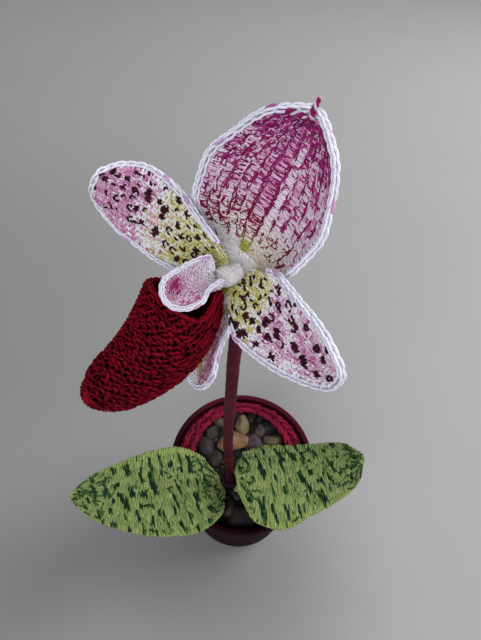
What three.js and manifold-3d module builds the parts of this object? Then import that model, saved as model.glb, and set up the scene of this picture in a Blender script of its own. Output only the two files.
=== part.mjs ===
// A crocheted slipper orchid standing in a round plastic pot of pebbles. Millimetres, +Z up, the origin at
// the centre of the pot's foot. The flower looks towards -X -Y.
import * as THREE from 'three';
import { mergeVertices } from 'three/addons/utils/BufferGeometryUtils.js';
import Module from 'manifold-3d';

const wasm = await Module();
wasm.setup();

// Driving dimensions.
const gap = 0.4;                 // clearance between touching pieces
const pot = { height: 112, footR: 45.8, rimR: 59.4, wall: 2.2, floor: 2.5, lipWidth: 3.8, bandHeight: 6.5 };
const fillTop = 96;              // top of the foam block in the pot
const bedTop = 100;              // top of the gravel that the stones stand out of
const collar = { z: 107.5, from: -56, to: 236, innerBack: 43.5, wider: 4 };
const stem = { r: 3.6, wireR: 1.2, foot: 42, top: 355.5, x: -9, y: -17 };
const fabric = 2;                // thickness of the crocheted blades
const stitch = 0.35;             // height of a stitch over the fabric
const edgeR = 1.45;              // radius of the chain-stitch edging
const nibR = 1.2;                // radius of the twisted yarn end at the flower's top
const flower = [-9.5, -19, 364.5];
const flowerFaces = [228.4, 18];  // azimuth and elevation that the flower looks to, degrees

// Curved blades: every petal, sepal and leaf. Angles in degrees, lengths in mm. A blade leaves its foot
// towards azimuth and rise. Over its length it bends by curl towards its face (late bends the tip more than
// the foot), swings sideways by sway and turns about its midrib by twist. cup is the half angle of its
// cross-section's arc at the foot and at the tip. half holds its half width at the stops of its length. An
// edged blade's length and half take in its edging, which has the radius edge and starts at edgedFrom.
const stops = [0, 0.12, 0.3, 0.5, 0.7, 0.88, 1];
const blades = {
  dorsal: {
    foot: [-7.5, -12, 362.9], azimuth: 33.8, rise: 63.7, roll: 5.4, faces: flowerFaces, length: 68.8,
    curl: 27.5, late: 30, sway: -3.8, twist: 0, cup: [86, 37],
    half: [11.3, 22.3, 32, 32.6, 26, 17.2, 2.4],
    start: 0.04, rows: 18, columns: 22, edge: edgeR, edgedFrom: 0.34,
  },
  petalLeft: {
    foot: [-13.5, -21.6, 369.6], azimuth: 159, rise: 15.5, roll: -10, faces: flowerFaces, length: 63,
    curl: 12, late: 54, sway: -2, twist: 35, cup: [46, -60], half: [9, 13.8, 15.5, 17.1, 17, 13, 4.3],
    start: 0.05, rows: 18, columns: 14, edge: edgeR, edgedFrom: 0.16,
  },
  petalRight: {
    foot: [-7.5, -27, 368.9], azimuth: -70.5, rise: 9, roll: -34, faces: flowerFaces, length: 60,
    curl: 0, late: 45, sway: 31, twist: 53, cup: [30, 6], half: [6.6, 12, 16.2, 15.6, 14.2, 11, 2.5],
    start: 0, rows: 18, columns: 14, edge: edgeR, edgedFrom: 0.2,
  },
  synsepal: {
    foot: [-11.5, -21.5, 352], azimuth: -151.3, rise: -64.7, roll: 13, faces: [229, 0], length: 52.4,
    curl: 2, late: -2, sway: 14, twist: 5, cup: [34, 21], half: [6.4, 9.2, 9, 10, 13, 10, 3],
    rows: 14, columns: 8, edge: 1.2, edgedFrom: 0.2,
  },
  staminode: {
    foot: [-18.5, -29.5, 371.5], azimuth: -148.4, rise: 24.6, roll: 24.6, faces: [256, 51.6], length: 22.2,
    curl: -17, late: 5, sway: 52, twist: 22, cup: [132, 30], half: [2.1, 12, 10.4, 9.7, 10.3, 7.7, 2.7],
    rows: 12, columns: 14, edge: 0.9, edgedFrom: 0.12,
  },
  leafLeft: {
    foot: [-16, -18.4, 103], azimuth: -154, rise: 28.6, roll: 5, faces: [0, 90], length: 122,
    curl: -11, late: -8.6, sway: -16.6, twist: -19.5, cup: [23, -10],
    half: [5.8, 28, 35.5, 32.4, 24.5, 14.6, 1],
    rows: 20, columns: 18,
  },
  leafRight: {
    foot: [-4, -24.2, 131.6], azimuth: 5.7, rise: -18.6, roll: -17, faces: [0, 90], length: 104.5,
    curl: 44, late: -2, sway: 1, twist: 3, cup: [-31, -12], half: [9, 33, 39.2, 33, 27.3, 19.6, 2.3],
    start: 0.015,
    rows: 18, columns: 18,
  },
};

// The slipper: an elliptical sock along a bent axis, mouth first. across and deep are its half widths. Its
// rim dips by depth of the axis at an angle round it, and is level past before and after, in degrees.
const pouch = {
  mouth: [-29.7, -32.8, 368], bend: [-32.1, -49.4, 347.5], toe: [-64.7, -67, 344],
  across: [15.9, 18.1, 8.3], deep: [11.8, 18.7, 5.9], sideways: [0.755, -0.657, -0.04],
  dip: { depth: 0.155, at: 35, before: 45, after: 95 },
  wall: 2, rings: 19, sides: 28, toeStart: 0.8,
};

const rad = THREE.MathUtils.degToRad;
const vec = (p) => new THREE.Vector3(...p);

// Direction towards an azimuth and an elevation in degrees.
function heading(azimuth, elevation) {
  const flat = Math.cos(rad(elevation));
  const [x, y] = [Math.cos(rad(azimuth)), Math.sin(rad(azimuth))];
  return new THREE.Vector3(flat * x, flat * y, Math.sin(rad(elevation)));
}

// Value at t of the smooth curve through the stops that never overshoots them.
function through(values, t) {
  const slope = (k) => (values[k + 1] - values[k]) / (stops[k + 1] - stops[k]);
  const tangent = (k) => {
    if (k === 0) return slope(0);
    if (k === stops.length - 1) return slope(k - 1);
    const [a, b] = [slope(k - 1), slope(k)];
    return a * b > 0 ? (2 * a * b) / (a + b) : 0;
  };
  let k = 0;
  while (k < stops.length - 2 && t > stops[k + 1]) k++;
  const h = stops[k + 1] - stops[k];
  const u = (t - stops[k]) / h;
  const [u2, u3] = [u * u, u * u * u];
  return (2 * u3 - 3 * u2 + 1) * values[k] + (u3 - 2 * u2 + u) * h * tangent(k)
    + (3 * u2 - 2 * u3) * values[k + 1] + (u3 - u2) * h * tangent(k + 1);
}

// The midrib's stations: where it is, which way it runs and which way its face looks.
const stations = 24;
function midrib(b) {
  const along = heading(b.azimuth, b.rise);
  const face = heading(...b.faces);
  face.addScaledVector(along, -face.dot(along)).normalize().applyAxisAngle(along, rad(b.roll));
  const at = vec(b.foot);
  const rib = [{ at: at.clone(), along: along.clone(), face: face.clone() }];
  for (let i = 0; i < stations; i++) {
    const t = (i + 0.5) / stations;
    const side = along.clone().cross(face).normalize();
    const bend = rad(b.curl + b.late * (2 * t - 1)) / stations;
    along.applyAxisAngle(side, bend);
    face.applyAxisAngle(side, bend);
    along.applyAxisAngle(face, rad(b.sway) / stations);
    face.applyAxisAngle(along, rad(b.twist) / stations);
    face.addScaledVector(along, -face.dot(along)).normalize();
    at.addScaledVector(along, b.length / stations);
    rib.push({ at: at.clone(), along: along.clone(), face: face.clone() });
  }
  return rib;
}

// A frame on the blade's middle surface at t along and s across (-1 to 1): the point, the outward direction
// across it, the way along it and its normal.
function frameOn(b, t, s) {
  b.rib ??= midrib(b);
  const f = Math.min(t, 1) * stations;
  const k = Math.min(Math.floor(f), stations - 1);
  const [p, q] = [b.rib[k], b.rib[k + 1]];
  const at = p.at.clone().lerp(q.at, f - k);
  const along = p.along.clone().lerp(q.along, f - k).normalize();
  const face = p.face.clone().lerp(q.face, f - k).normalize();
  const side = along.clone().cross(face).normalize();
  const half = through(b.half, Math.min(t, 1));
  const cup = rad(b.cup[0] + (b.cup[1] - b.cup[0]) * t);
  const turn = (Math.abs(cup) < 1e-3 ? 1e-3 : cup);
  at.addScaledVector(side, half * Math.sin(turn * s) / turn);
  at.addScaledVector(face, half * (1 - Math.cos(turn * s)) / turn);
  const across = side.clone().multiplyScalar(Math.cos(turn * s)).addScaledVector(face, Math.sin(turn * s));
  const normal = face.clone().multiplyScalar(Math.cos(turn * s)).addScaledVector(side, -Math.sin(turn * s));
  return { at, across, along, normal };
}

// The same frame on the blade's cloth, which leaves room for the edging along its sides and past its tip.
function clothOn(b, t, s) {
  const room = b.edge ? (2 * b.edge + gap + 0.1) * Math.min(1, t / b.edgedFrom) : 0;
  const far = t * (1 - room / b.length);
  return frameOn(b, far, s * (1 - room / through(b.half, far)));
}

// Geometry from a list of points and a list of index triples.
function surface(points, triangles) {
  const geometry = new THREE.BufferGeometry();
  geometry.setAttribute('position', new THREE.Float32BufferAttribute(points.flatMap((p) => p.toArray()), 3));
  geometry.setIndex(triangles.flat());
  return geometry;
}

// Crocheted blade: a front and a back grid whose squares are split the same way, joined round the edge. The
// stitches stand out of both faces in lengthwise rows.
function bladeGeometry(b) {
  const { rows, columns } = b;
  const start = b.start ?? 0;
  const points = [];
  const triangles = [];
  const count = (rows + 1) * (columns + 1);
  const index = (i, j, back) => i * (columns + 1) + j + (back ? count : 0);
  for (const back of [false, true]) {
    for (let i = 0; i <= rows; i++) {
      for (let j = 0; j <= columns; j++) {
        const f = clothOn(b, start + (1 - start) * i / rows, 2 * j / columns - 1);
        const row = stitch * Math.cos(Math.PI * j) * (0.6 + 0.4 * Math.cos(Math.PI * i));
        points.push(f.at.addScaledVector(f.normal, (fabric / 2 + row) * (back ? -1 : 1)));
      }
    }
  }
  const square = (a, b2, c, d) => triangles.push([a, b2, c], [a, c, d]);
  for (let i = 0; i < rows; i++) {
    for (let j = 0; j < columns; j++) {
      square(index(i, j), index(i, j + 1), index(i + 1, j + 1), index(i + 1, j));
      triangles.push([index(i, j, 1), index(i + 1, j + 1, 1), index(i, j + 1, 1)]);
      triangles.push([index(i, j, 1), index(i + 1, j, 1), index(i + 1, j + 1, 1)]);
    }
  }
  for (let j = 0; j < columns; j++) {
    square(index(0, j), index(0, j, 1), index(0, j + 1, 1), index(0, j + 1));
    square(index(rows, j), index(rows, j + 1), index(rows, j + 1, 1), index(rows, j, 1));
  }
  for (let i = 0; i < rows; i++) {
    square(index(i, 0), index(i + 1, 0), index(i + 1, 0, 1), index(i, 0, 1));
    square(index(i, columns), index(i, columns, 1), index(i + 1, columns, 1), index(i + 1, columns));
  }
  return surface(points, triangles);
}

// Tube through stations {at, out, up, r}: each ring lies in the plane of out and up. Both ends are closed.
function tube(path, sides) {
  const points = [];
  const triangles = [];
  for (const p of path) {
    for (let k = 0; k < sides; k++) {
      const a = 2 * Math.PI * k / sides;
      const point = p.at.clone().addScaledVector(p.out, p.r * Math.cos(a));
      points.push(point.addScaledVector(p.up, p.r * Math.sin(a)));
    }
  }
  for (let i = 0; i + 1 < path.length; i++) {
    for (let k = 0; k < sides; k++) {
      const [a, b] = [i * sides + k, i * sides + (k + 1) % sides];
      triangles.push([a, b, b + sides], [a, b + sides, a + sides]);
    }
  }
  const last = (path.length - 1) * sides;
  points.push(path[0].at, path[path.length - 1].at);
  for (let k = 0; k < sides; k++) {
    triangles.push([(k + 1) % sides, k, points.length - 2]);
    triangles.push([last + k, last + (k + 1) % sides, points.length - 1]);
  }
  return outward(surface(points, triangles));
}

// The same geometry with its faces turned outward, by the sign of its volume.
function outward(geometry) {
  const p = geometry.attributes.position;
  const index = geometry.index.array;
  const corner = (k) => new THREE.Vector3().fromBufferAttribute(p, index[k]);
  let volume = 0;
  for (let k = 0; k < index.length; k += 3) volume += corner(k).dot(corner(k + 1).cross(corner(k + 2)));
  if (volume < 0) {
    for (let k = 0; k < index.length; k += 3) [index[k], index[k + 1]] = [index[k + 1], index[k]];
  }
  return geometry;
}

// Chain-stitch edging round a blade, up one side, over the tip and back: a beaded tube that lies just
// outside the edge of the cloth.
function edgingGeometry(b, steps, sides) {
  const path = [];
  const [r, from] = [b.edge, b.edgedFrom];
  const offset = r + gap + 0.1;
  const bead = (k) => r * (k % 2 ? 0.8 : 1);
  const side = (s, t) => {
    const f = clothOn(b, t, s);
    const out = f.across.multiplyScalar(s);
    path.push({ at: f.at.addScaledVector(out, offset), out, up: f.normal, r: bead(path.length) });
  };
  for (let k = 0; k <= steps; k++) side(-1, from + (1 - from) * k / steps);
  const tip = clothOn(b, 1, 0);
  for (const a of [-45, 0, 45]) {
    const out = tip.across.clone().multiplyScalar(Math.sin(rad(a)));
    out.addScaledVector(tip.along, Math.cos(rad(a)));
    const f = clothOn(b, 1, a / 60);
    path.push({ at: f.at.addScaledVector(out, offset), out, up: f.normal, r: bead(path.length) });
  }
  for (let k = steps; k >= 0; k--) side(1, from + (1 - from) * k / steps);
  return tube(path, sides);
}

// Round-nosed bar along points, with a radius at each of them.
function barGeometry(points, radii, steps, sides) {
  const curve = new THREE.CatmullRomCurve3(points.map(vec));
  const frames = curve.computeFrenetFrames(steps, false);
  const radius = new THREE.CatmullRomCurve3(radii.map((r, k) => new THREE.Vector3(k, r, 0)));
  const path = [];
  for (let i = 0; i <= steps; i++) {
    const at = curve.getPoint(i / steps);
    path.push({ at, out: frames.normals[i], up: frames.binormals[i], r: radius.getPoint(i / steps).y });
  }
  return tube(path, sides);
}

// Point on the slipper's wall at t along its axis and angle a round it, `inset` mm inside its outer face.
function pouchPoint(t, a, inset) {
  const [m, b, e] = [vec(pouch.mouth), vec(pouch.bend), vec(pouch.toe)];
  const u = 1 - t;
  const at = m.clone().multiplyScalar(u * u).addScaledVector(b, 2 * t * u).addScaledVector(e, t * t);
  const along = b.clone().sub(m).multiplyScalar(u).addScaledVector(e.clone().sub(b), t).normalize();
  const side = vec(pouch.sideways);
  side.addScaledVector(along, -side.dot(along)).normalize();
  const up = along.clone().cross(side);
  const blend = (v) => u * u * v[0] + 2 * t * u * v[1] + t * t * v[2];
  const nose = Math.max(0, (t - pouch.toeStart) / (1 - pouch.toeStart));
  const round = Math.sqrt(Math.max(0, 1 - nose ** 2.5));
  at.addScaledVector(side, (blend(pouch.across) * round - inset) * Math.cos(a));
  return at.addScaledVector(up, (blend(pouch.deep) * round - inset) * Math.sin(a));
}

// How far along the axis the rim lies at angle a.
function mouthAt(a) {
  const { depth, at, before, after } = pouch.dip;
  const off = THREE.MathUtils.euclideanModulo(a - rad(at) + Math.PI, 2 * Math.PI) - Math.PI;
  const share = Math.min(1, Math.abs(off) / rad(off < 0 ? before : after));
  return depth * Math.cos(0.5 * Math.PI * share) ** 1.5;
}

// Slipper: outer wall with staggered stitches, inner wall, and a rim that dips in front of the column.
function pouchGeometry() {
  const { rings, sides, wall } = pouch;
  const points = [];
  const triangles = [];
  const ends = { outer: 0.995, inner: 0.95 };
  for (const inner of [false, true]) {
    for (let i = 0; i < rings; i++) {
      for (let k = 0; k < sides; k++) {
        const a = 2 * Math.PI * k / sides;
        const end = inner ? ends.inner : ends.outer;
        const t = mouthAt(a) + (end - mouthAt(a)) * (i / (rings - 1)) ** 0.9;
        const bump = inner || i === 0 || i === rings - 1 ? 0 : stitch * Math.cos(Math.PI * (i + k));
        points.push(pouchPoint(t, a, inner ? wall : -bump));
      }
    }
  }
  const inside = rings * sides;
  const ring = (i, k, base) => base + i * sides + (k % sides);
  for (const inner of [false, true]) {
    const base = inner ? inside : 0;
    for (let i = 0; i + 1 < rings; i++) {
      for (let k = 0; k < sides; k++) {
        const near = [ring(i, k, base), ring(i, k + 1, base)];
        const far = [ring(i + 1, k, base), ring(i + 1, k + 1, base)];
        if (inner) triangles.push([near[0], near[1], far[1]], [near[0], far[1], far[0]]);
        else triangles.push([near[0], far[1], near[1]], [near[0], far[0], far[1]]);
      }
    }
    const end = inner ? ends.inner : 1;
    const inset = inner ? wall : 0;
    points.push(pouchPoint(end, 0, inset).lerp(pouchPoint(end, Math.PI, inset), 0.5));
    for (let k = 0; k < sides; k++) {
      const fan = [ring(rings - 1, k, base), ring(rings - 1, k + 1, base), points.length - 1];
      triangles.push(inner ? fan : [fan[1], fan[0], fan[2]]);
    }
  }
  for (let k = 0; k < sides; k++) {
    triangles.push([ring(0, k, 0), ring(0, k + 1, 0), ring(0, k + 1, inside)]);
    triangles.push([ring(0, k, 0), ring(0, k + 1, inside), ring(0, k, inside)]);
  }
  return outward(surface(points, triangles));
}

// A closed geometry as a solid that can be cut and joined, and back.
function solid(geometry) {
  const bare = geometry.clone();
  bare.deleteAttribute('normal');
  bare.deleteAttribute('uv');
  const merged = mergeVertices(bare, 1e-4);
  return new wasm.Manifold(new wasm.Mesh({
    numProp: 3,
    vertProperties: new Float32Array(merged.attributes.position.array),
    triVerts: new Uint32Array(merged.index.array),
  }));
}
function geometryOf(body) {
  const mesh = body.getMesh();
  const geometry = new THREE.BufferGeometry();
  geometry.setAttribute('position', new THREE.BufferAttribute(new Float32Array(mesh.vertProperties), 3));
  geometry.setIndex(new THREE.BufferAttribute(new Uint32Array(mesh.triVerts), 1));
  return geometry;
}

// Solid of revolution about +Z from [radius, height] pairs.
function turned(profile, segments) {
  const lathe = new THREE.LatheGeometry(profile.map(([r, z]) => new THREE.Vector2(r, z)), segments);
  lathe.rotateX(Math.PI / 2);
  lathe.deleteAttribute('normal');
  lathe.deleteAttribute('uv');
  return outward(mergeVertices(lathe, 1e-4));
}

// Outer radius of the pot's tapered wall at a height, up to the band under the rim.
const wallTopR = pot.rimR - pot.lipWidth + 1.2;
const wallAt = (z) => pot.footR + (wallTopR - pot.footR) * z / (pot.height - pot.bandHeight);

// Pot: tapered wall, a rolled band round the rim and a flat foot.
function potGeometry() {
  const { height, footR, rimR, wall, floor, lipWidth, bandHeight } = pot;
  const band = height - bandHeight;
  const inner = rimR - lipWidth;
  return turned([
    [0, 0], [footR - 1.5, 0], [footR, 1.5], [wallAt(band), band], [rimR - 0.9, band + 0.2],
    [rimR, band + 1.2], [rimR, height - 1.2], [rimR - 0.9, height - 0.2],
    [inner + 1, height], [inner, height - 1],
    [wallAt(band) - wall, band - 4], [wallAt(floor) - wall, floor], [0, floor],
  ], 36);
}

// Round rod standing at the stem, for cutting the holes that it stands in.
function stemHole(low, high) {
  const rod = new THREE.CylinderGeometry(stem.r + 1.5 * gap, stem.r + 1.5 * gap, high - low, 16);
  rod.rotateX(Math.PI / 2);
  rod.translate(stem.x, stem.y, (low + high) / 2);
  return solid(rod);
}

// Foam block that fills the pot and holds the stem.
function fillingGeometry() {
  const low = pot.floor + gap;
  const inside = (z) => wallAt(z) - pot.wall - 2 * gap;
  const block = turned([[0, low], [inside(low), low], [inside(fillTop), fillTop], [0, fillTop]], 36);
  return geometryOf(solid(block).subtract(stemHole(stem.foot - gap, fillTop + 5)));
}

// Repeatable random numbers from 0 to 1.
function seeded(seed) {
  let state = seed;
  return () => {
    state = (Math.imul(state, 1664525) + 1013904223) >>> 0;
    return state / 4294967296;
  };
}

// Stones that show between the leaves: centre, half lengths along X, Y and Z, and turn about Z in degrees.
const stones = [
  { at: [-9, 19, 101], size: [13.5, 9.5, 6.5], turn: 8 },
  { at: [-1, 35, 101], size: [6, 9.5, 6.5], turn: -8 },
  { at: [-21, 37, 100], size: [4, 4.5, 5], turn: 20 },
  { at: [7, 42, 100], size: [5, 4, 5], turn: 30 },
  { at: [23, 33.5, 100], size: [6, 5.5, 5.5], turn: -35 },
  { at: [15, 31, 100], size: [4.5, 6.5, 5.5], turn: -15 },
  { at: [12, 18, 99], size: [6.5, 9, 5], turn: 20 },
  { at: [27, 21, 100], size: [8, 7, 5.5], turn: -10 },
  { at: [-33, 14, 100], size: [9, 9, 6], turn: 15 },
  { at: [-27, 26, 100], size: [6, 5.5, 5], turn: 45 },
  { at: [2, -44.5, 102], size: [13.5, 8.5, 5], turn: 5 },
  { at: [-8, -38, 101], size: [5, 7.5, 5], turn: -20 },
];
const fillStones = 14;

// A stone: a ball of flat faces with uneven corners, stretched to its size.
function stoneGeometry(stone, random) {
  const ball = new THREE.IcosahedronGeometry(1, stone.fine ? 1 : 0);
  ball.deleteAttribute('normal');
  ball.deleteAttribute('uv');
  const rough = mergeVertices(ball, 1e-4);
  const p = rough.attributes.position;
  for (let k = 0; k < p.count; k++) {
    const grow = 0.9 + 0.2 * random();
    p.setXYZ(k, p.getX(k) * grow, p.getY(k) * grow, p.getZ(k) * grow);
  }
  rough.scale(...stone.size);
  rough.rotateZ(rad(stone.turn));
  rough.translate(...stone.at);
  return rough;
}

// Gravel: a bed with stones sunk into it, and a hole for the stem.
function pebblesGeometry() {
  const random = seeded(7);
  const low = fillTop + gap;
  const reach = wallAt(low) - pot.wall - gap;
  const slab = [[0, low], [reach, low], [reach, bedTop - 1], [reach - 1.5, bedTop], [0, bedTop]];
  let bed = solid(turned(slab, 32));
  const all = stones.map((stone) => ({ ...stone, fine: true }));
  for (let k = 0; k < fillStones; k++) {
    const a = 2.4 * k;
    const far = 38 * Math.sqrt((k + 0.5) / fillStones);
    const size = [4 + 3 * random(), 4 + 2 * random(), 2.5 + 1.2 * random()];
    all.push({ at: [far * Math.cos(a), far * Math.sin(a), bedTop - 0.5], size, turn: 360 * random() });
  }
  for (const stone of all) bed = bed.add(solid(stoneGeometry(stone, random)));
  const keep = turned([[0, low], [reach - 0.2, low], [reach - 0.2, 130], [0, 130]], 32);
  return geometryOf(bed.intersect(solid(keep)).subtract(stemHole(low - 5, 130)));
}

// Crocheted collar under the rim: a strip of two rows of stitches from one leaf round the back to the other.
// It is narrower at the back, and its ends are closed.
function collarGeometry() {
  const segments = 50;
  const outerR = pot.rimR - pot.lipWidth - 0.9;
  const points = [];
  const triangles = [];
  const section = [[0, 0], [0.25, 1.2], [0.5, 0.3], [0.75, 1.2], [1, 0], [0.5, -1.6]];
  const n = section.length;
  for (let k = 0; k <= segments; k++) {
    const a = rad(collar.from + (collar.to - collar.from) * k / segments);
    const innerR = collar.innerBack - collar.wider * Math.cos(a) ** 2;
    for (const [u, lift] of section) {
      const r = outerR + (innerR - outerR) * u;
      const bump = lift > 1 ? 0.5 * Math.cos(Math.PI * k) : 0;
      points.push(new THREE.Vector3(r * Math.cos(a), r * Math.sin(a), collar.z + 1.5 * u + lift + bump));
    }
  }
  for (let k = 0; k < segments; k++) {
    for (let j = 0; j < n; j++) {
      const [a, b] = [k * n + j, k * n + (j + 1) % n];
      triangles.push([a, b, b + n], [a, b + n, a + n]);
    }
  }
  const last = segments * n;
  for (let j = 1; j + 1 < n; j++) triangles.push([0, j + 1, j], [last, last + j, last + j + 1]);
  return outward(surface(points, triangles));
}

// Leaf with the stalk that carries it, joined in one piece.
function stalkedLeaf(b, points, r) {
  const stalk = barGeometry(points, points.map(() => r), 10, 8);
  return geometryOf(solid(bladeGeometry(b)).add(solid(stalk)));
}

// Stem: tape wound round a wire, on one gently bent path from the foam up to the flower.
const stemPath = new THREE.CatmullRomCurve3([
  [stem.x, stem.y, stem.foot], [stem.x, stem.y, 98], [-11.5, -15, 180], [-11.4, -16, 220], [-10.5, -17, 265],
  [-9.6, -18.6, 303], [-7.6, -17, 335], [-6.2, -15.4, stem.top],
].map(vec));

function circle(r, sides) {
  const points = [];
  for (let k = 0; k < sides; k++) {
    const a = 2 * Math.PI * k / sides;
    points.push(new THREE.Vector2(r * Math.cos(a), r * Math.sin(a)));
  }
  return points;
}

function stemGeometry(outerR, holeR) {
  const shape = new THREE.Shape(circle(outerR, holeR ? 10 : 6));
  if (holeR) shape.holes.push(new THREE.Path(circle(holeR, 6)));
  return new THREE.ExtrudeGeometry(shape, { steps: 20, extrudePath: stemPath, curveSegments: 1 });
}

// Dark thread wound round the stem where the leaves meet it.
function tieGeometry() {
  const ring = turned([
    [stem.r + 0.7, 0], [stem.r + 1.9, 0.6], [stem.r + 1.6, 2.2], [stem.r + 2.5, 3.6], [stem.r + 1.8, 5.6],
    [stem.r + 0.7, 6.2], [stem.r + 0.7, 0],
  ], 14);
  ring.translate(stem.x - 0.3, stem.y + 0.3, 103);
  return ring;
}

const model = new THREE.Group();

function add(name, geometry, color, roughness) {
  const mesh = new THREE.Mesh(geometry, new THREE.MeshStandardMaterial({ color, roughness, metalness: 0 }));
  mesh.name = name;
  model.add(mesh);
}

const looks = heading(...flowerFaces);

// Point `forward` mm in front of the flower's centre and `up` mm above it.
function nearFlower(forward, up) {
  return vec(flower).addScaledVector(looks, forward).add(new THREE.Vector3(0, 0, up)).toArray();
}

// Twisted yarn end that rises in front of the tip of a blade, past its edging.
function nibGeometry(b) {
  const tip = clothOn(b, 1, 0);
  const point = (away, forward) => tip.at.clone().addScaledVector(tip.along, away)
    .addScaledVector(tip.normal, forward).toArray();
  const front = edgeR + nibR + gap + 0.1;
  return barGeometry([point(0.8, front), point(3.8, front), point(6.8, 1.6)], [nibR, nibR, 0.8], 6, 7);
}

const colours = {
  pot: 0x4a2a2c, foam: 0xd8d2c4, stone: 0x6b5a55, collar: 0xa01f4a, wire: 0x777777, tape: 0x5d2a3c,
  thread: 0x241524, leaf: 0x9dbb62, cream: 0xe8ddc6, sepal: 0xb5629b, petal: 0xd9b6cf, edging: 0xefe9f2,
  synsepal: 0xb9a35c, pouch: 0x8e1430, strap: 0x8a7a36, staminode: 0xe3bcd8,
};
const leafStalk = [[-3.6, -23, 102], [-2.6, -25, 112], [-1.2, -25.5, 122], [4, -24.3, 129.6]];
const coreRun = [nearFlower(-9, -2), nearFlower(-6, -2), nearFlower(-2, -2)];
const columnRun = [nearFlower(1, 0.8), nearFlower(6, 1), nearFlower(12.5, 2.3)];
const strapRun = [[-12.3, -19, 357.6], [-16.5, -22, 355.8], [-21.8, -26, 357.4]];

add('pot', potGeometry(), colours.pot, 0.35);
add('pot_filling', fillingGeometry(), colours.foam, 0.9);
add('pebbles', pebblesGeometry(), colours.stone, 0.9);
add('pot_collar', collarGeometry(), colours.collar, 0.9);
add('stem_wire', stemGeometry(stem.wireR, 0), colours.wire, 0.5);
add('stem_wrap', stemGeometry(stem.r, stem.wireR + gap), colours.tape, 0.7);
add('stem_tie', tieGeometry(), colours.thread, 0.8);
add('leaf_left', bladeGeometry(blades.leafLeft), colours.leaf, 0.9);
add('leaf_right', stalkedLeaf(blades.leafRight, leafStalk, 2), colours.leaf, 0.9);
add('flower_core', barGeometry(coreRun, [2.5, 4.4, 3.1], 6, 10), colours.cream, 0.9);
add('dorsal_sepal', bladeGeometry(blades.dorsal), colours.sepal, 0.9);
add('dorsal_edging', edgingGeometry(blades.dorsal, 27, 5), colours.edging, 0.9);
add('dorsal_nib', nibGeometry(blades.dorsal), colours.sepal, 0.9);
add('petal_left', bladeGeometry(blades.petalLeft), colours.petal, 0.9);
add('petal_left_edging', edgingGeometry(blades.petalLeft, 24, 5), colours.edging, 0.9);
add('petal_right', bladeGeometry(blades.petalRight), colours.petal, 0.9);
add('petal_right_edging', edgingGeometry(blades.petalRight, 24, 5), colours.edging, 0.9);
add('synsepal', bladeGeometry(blades.synsepal), colours.synsepal, 0.9);
add('synsepal_edging', edgingGeometry(blades.synsepal, 18, 5), colours.edging, 0.9);
add('pouch', pouchGeometry(), colours.pouch, 0.9);
add('pouch_strap', barGeometry(strapRun, [1.8, 2.2, 1.8], 6, 8), colours.strap, 0.9);
add('column', barGeometry(columnRun, [3.9, 4.2, 3.2], 8, 8), colours.cream, 0.9);
add('staminode', bladeGeometry(blades.staminode), colours.staminode, 0.9);
add('staminode_edging', edgingGeometry(blades.staminode, 11, 5), colours.edging, 0.9);

export default model;
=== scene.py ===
import math

import bpy
import numpy as np
from mathutils import Matrix


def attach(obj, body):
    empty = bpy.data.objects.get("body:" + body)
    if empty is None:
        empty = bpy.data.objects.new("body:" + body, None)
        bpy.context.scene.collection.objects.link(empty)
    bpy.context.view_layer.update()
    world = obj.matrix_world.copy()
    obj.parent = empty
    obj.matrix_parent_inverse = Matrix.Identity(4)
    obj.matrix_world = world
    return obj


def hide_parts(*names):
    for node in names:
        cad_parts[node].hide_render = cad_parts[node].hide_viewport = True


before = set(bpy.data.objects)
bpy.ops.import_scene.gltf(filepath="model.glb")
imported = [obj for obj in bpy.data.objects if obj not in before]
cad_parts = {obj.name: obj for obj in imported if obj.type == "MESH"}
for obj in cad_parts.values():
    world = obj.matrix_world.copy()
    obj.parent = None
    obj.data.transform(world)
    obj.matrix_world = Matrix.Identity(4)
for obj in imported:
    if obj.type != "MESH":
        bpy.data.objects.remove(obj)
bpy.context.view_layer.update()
mm = 0.001  # shapes are worked out in millimetres, and the scene is in metres


# colours and small sums

def hexColour(code):
    # sRGB hex to linear RGB
    c = np.array([int(code[i:i + 2], 16) for i in (1, 3, 5)]) / 255
    return np.where(c <= 0.04045, c / 12.92, ((c + 0.055) / 1.055) ** 2.4)


def inks(look):
    # the same dictionary, with its hex colours turned to linear RGB
    return {key: hexColour(v) if isinstance(v, str) and v[0] == "#" else v for key, v in look.items()}


def mixed(a, b, share):
    # share of b over a, for colours
    return a + (b - a) * np.asarray(share, float)[..., None]


def ease(x, low, high):
    # 0 below low, 1 above high, a smooth step between; low may be the greater
    u = np.clip((x - low) / (high - low), 0, 1)
    return u * u * (3 - 2 * u)


def hump(x, middle, width):
    # bell of height 1 round the middle
    return np.exp(-((x - middle) / width) ** 2)


def patches(x, y, size, seed):
    # soft blotches from 0 to 1: nine sine waves of random direction, each about `size` long
    dice = np.random.default_rng(seed)
    total = 0
    for _ in range(9):
        turn, phase = dice.uniform(0, 2 * np.pi, 2)
        wave = 2 * np.pi / (size * dice.uniform(0.6, 1.6))
        total = total + np.sin(wave * (x * np.cos(turn) + y * np.sin(turn)) + phase)
    return np.clip(0.5 + total / 6, 0, 1)


def unit(v):
    # v at length 1, along its last axis
    return v / np.maximum(np.linalg.norm(v, axis=-1, keepdims=True), 1e-12)


def circle(count):
    # angles of even steps round a circle
    return 2 * np.pi * np.arange(count) / count


def polar(a):
    # cosine and sine of each angle, side by side
    return np.stack([np.cos(a), np.sin(a)], -1)


def heading(azimuth, elevation):
    # unit vector of a direction in degrees
    a, e = math.radians(azimuth), math.radians(elevation)
    return np.array([math.cos(e) * math.cos(a), math.cos(e) * math.sin(a), math.sin(e)])


def turnAbout(v, axis, angle):
    # Rodrigues: v turned about a unit axis
    c, s = math.cos(angle), math.sin(angle)
    return v * c + np.cross(axis, v) * s + axis * (axis @ v) * (1 - c)


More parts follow.
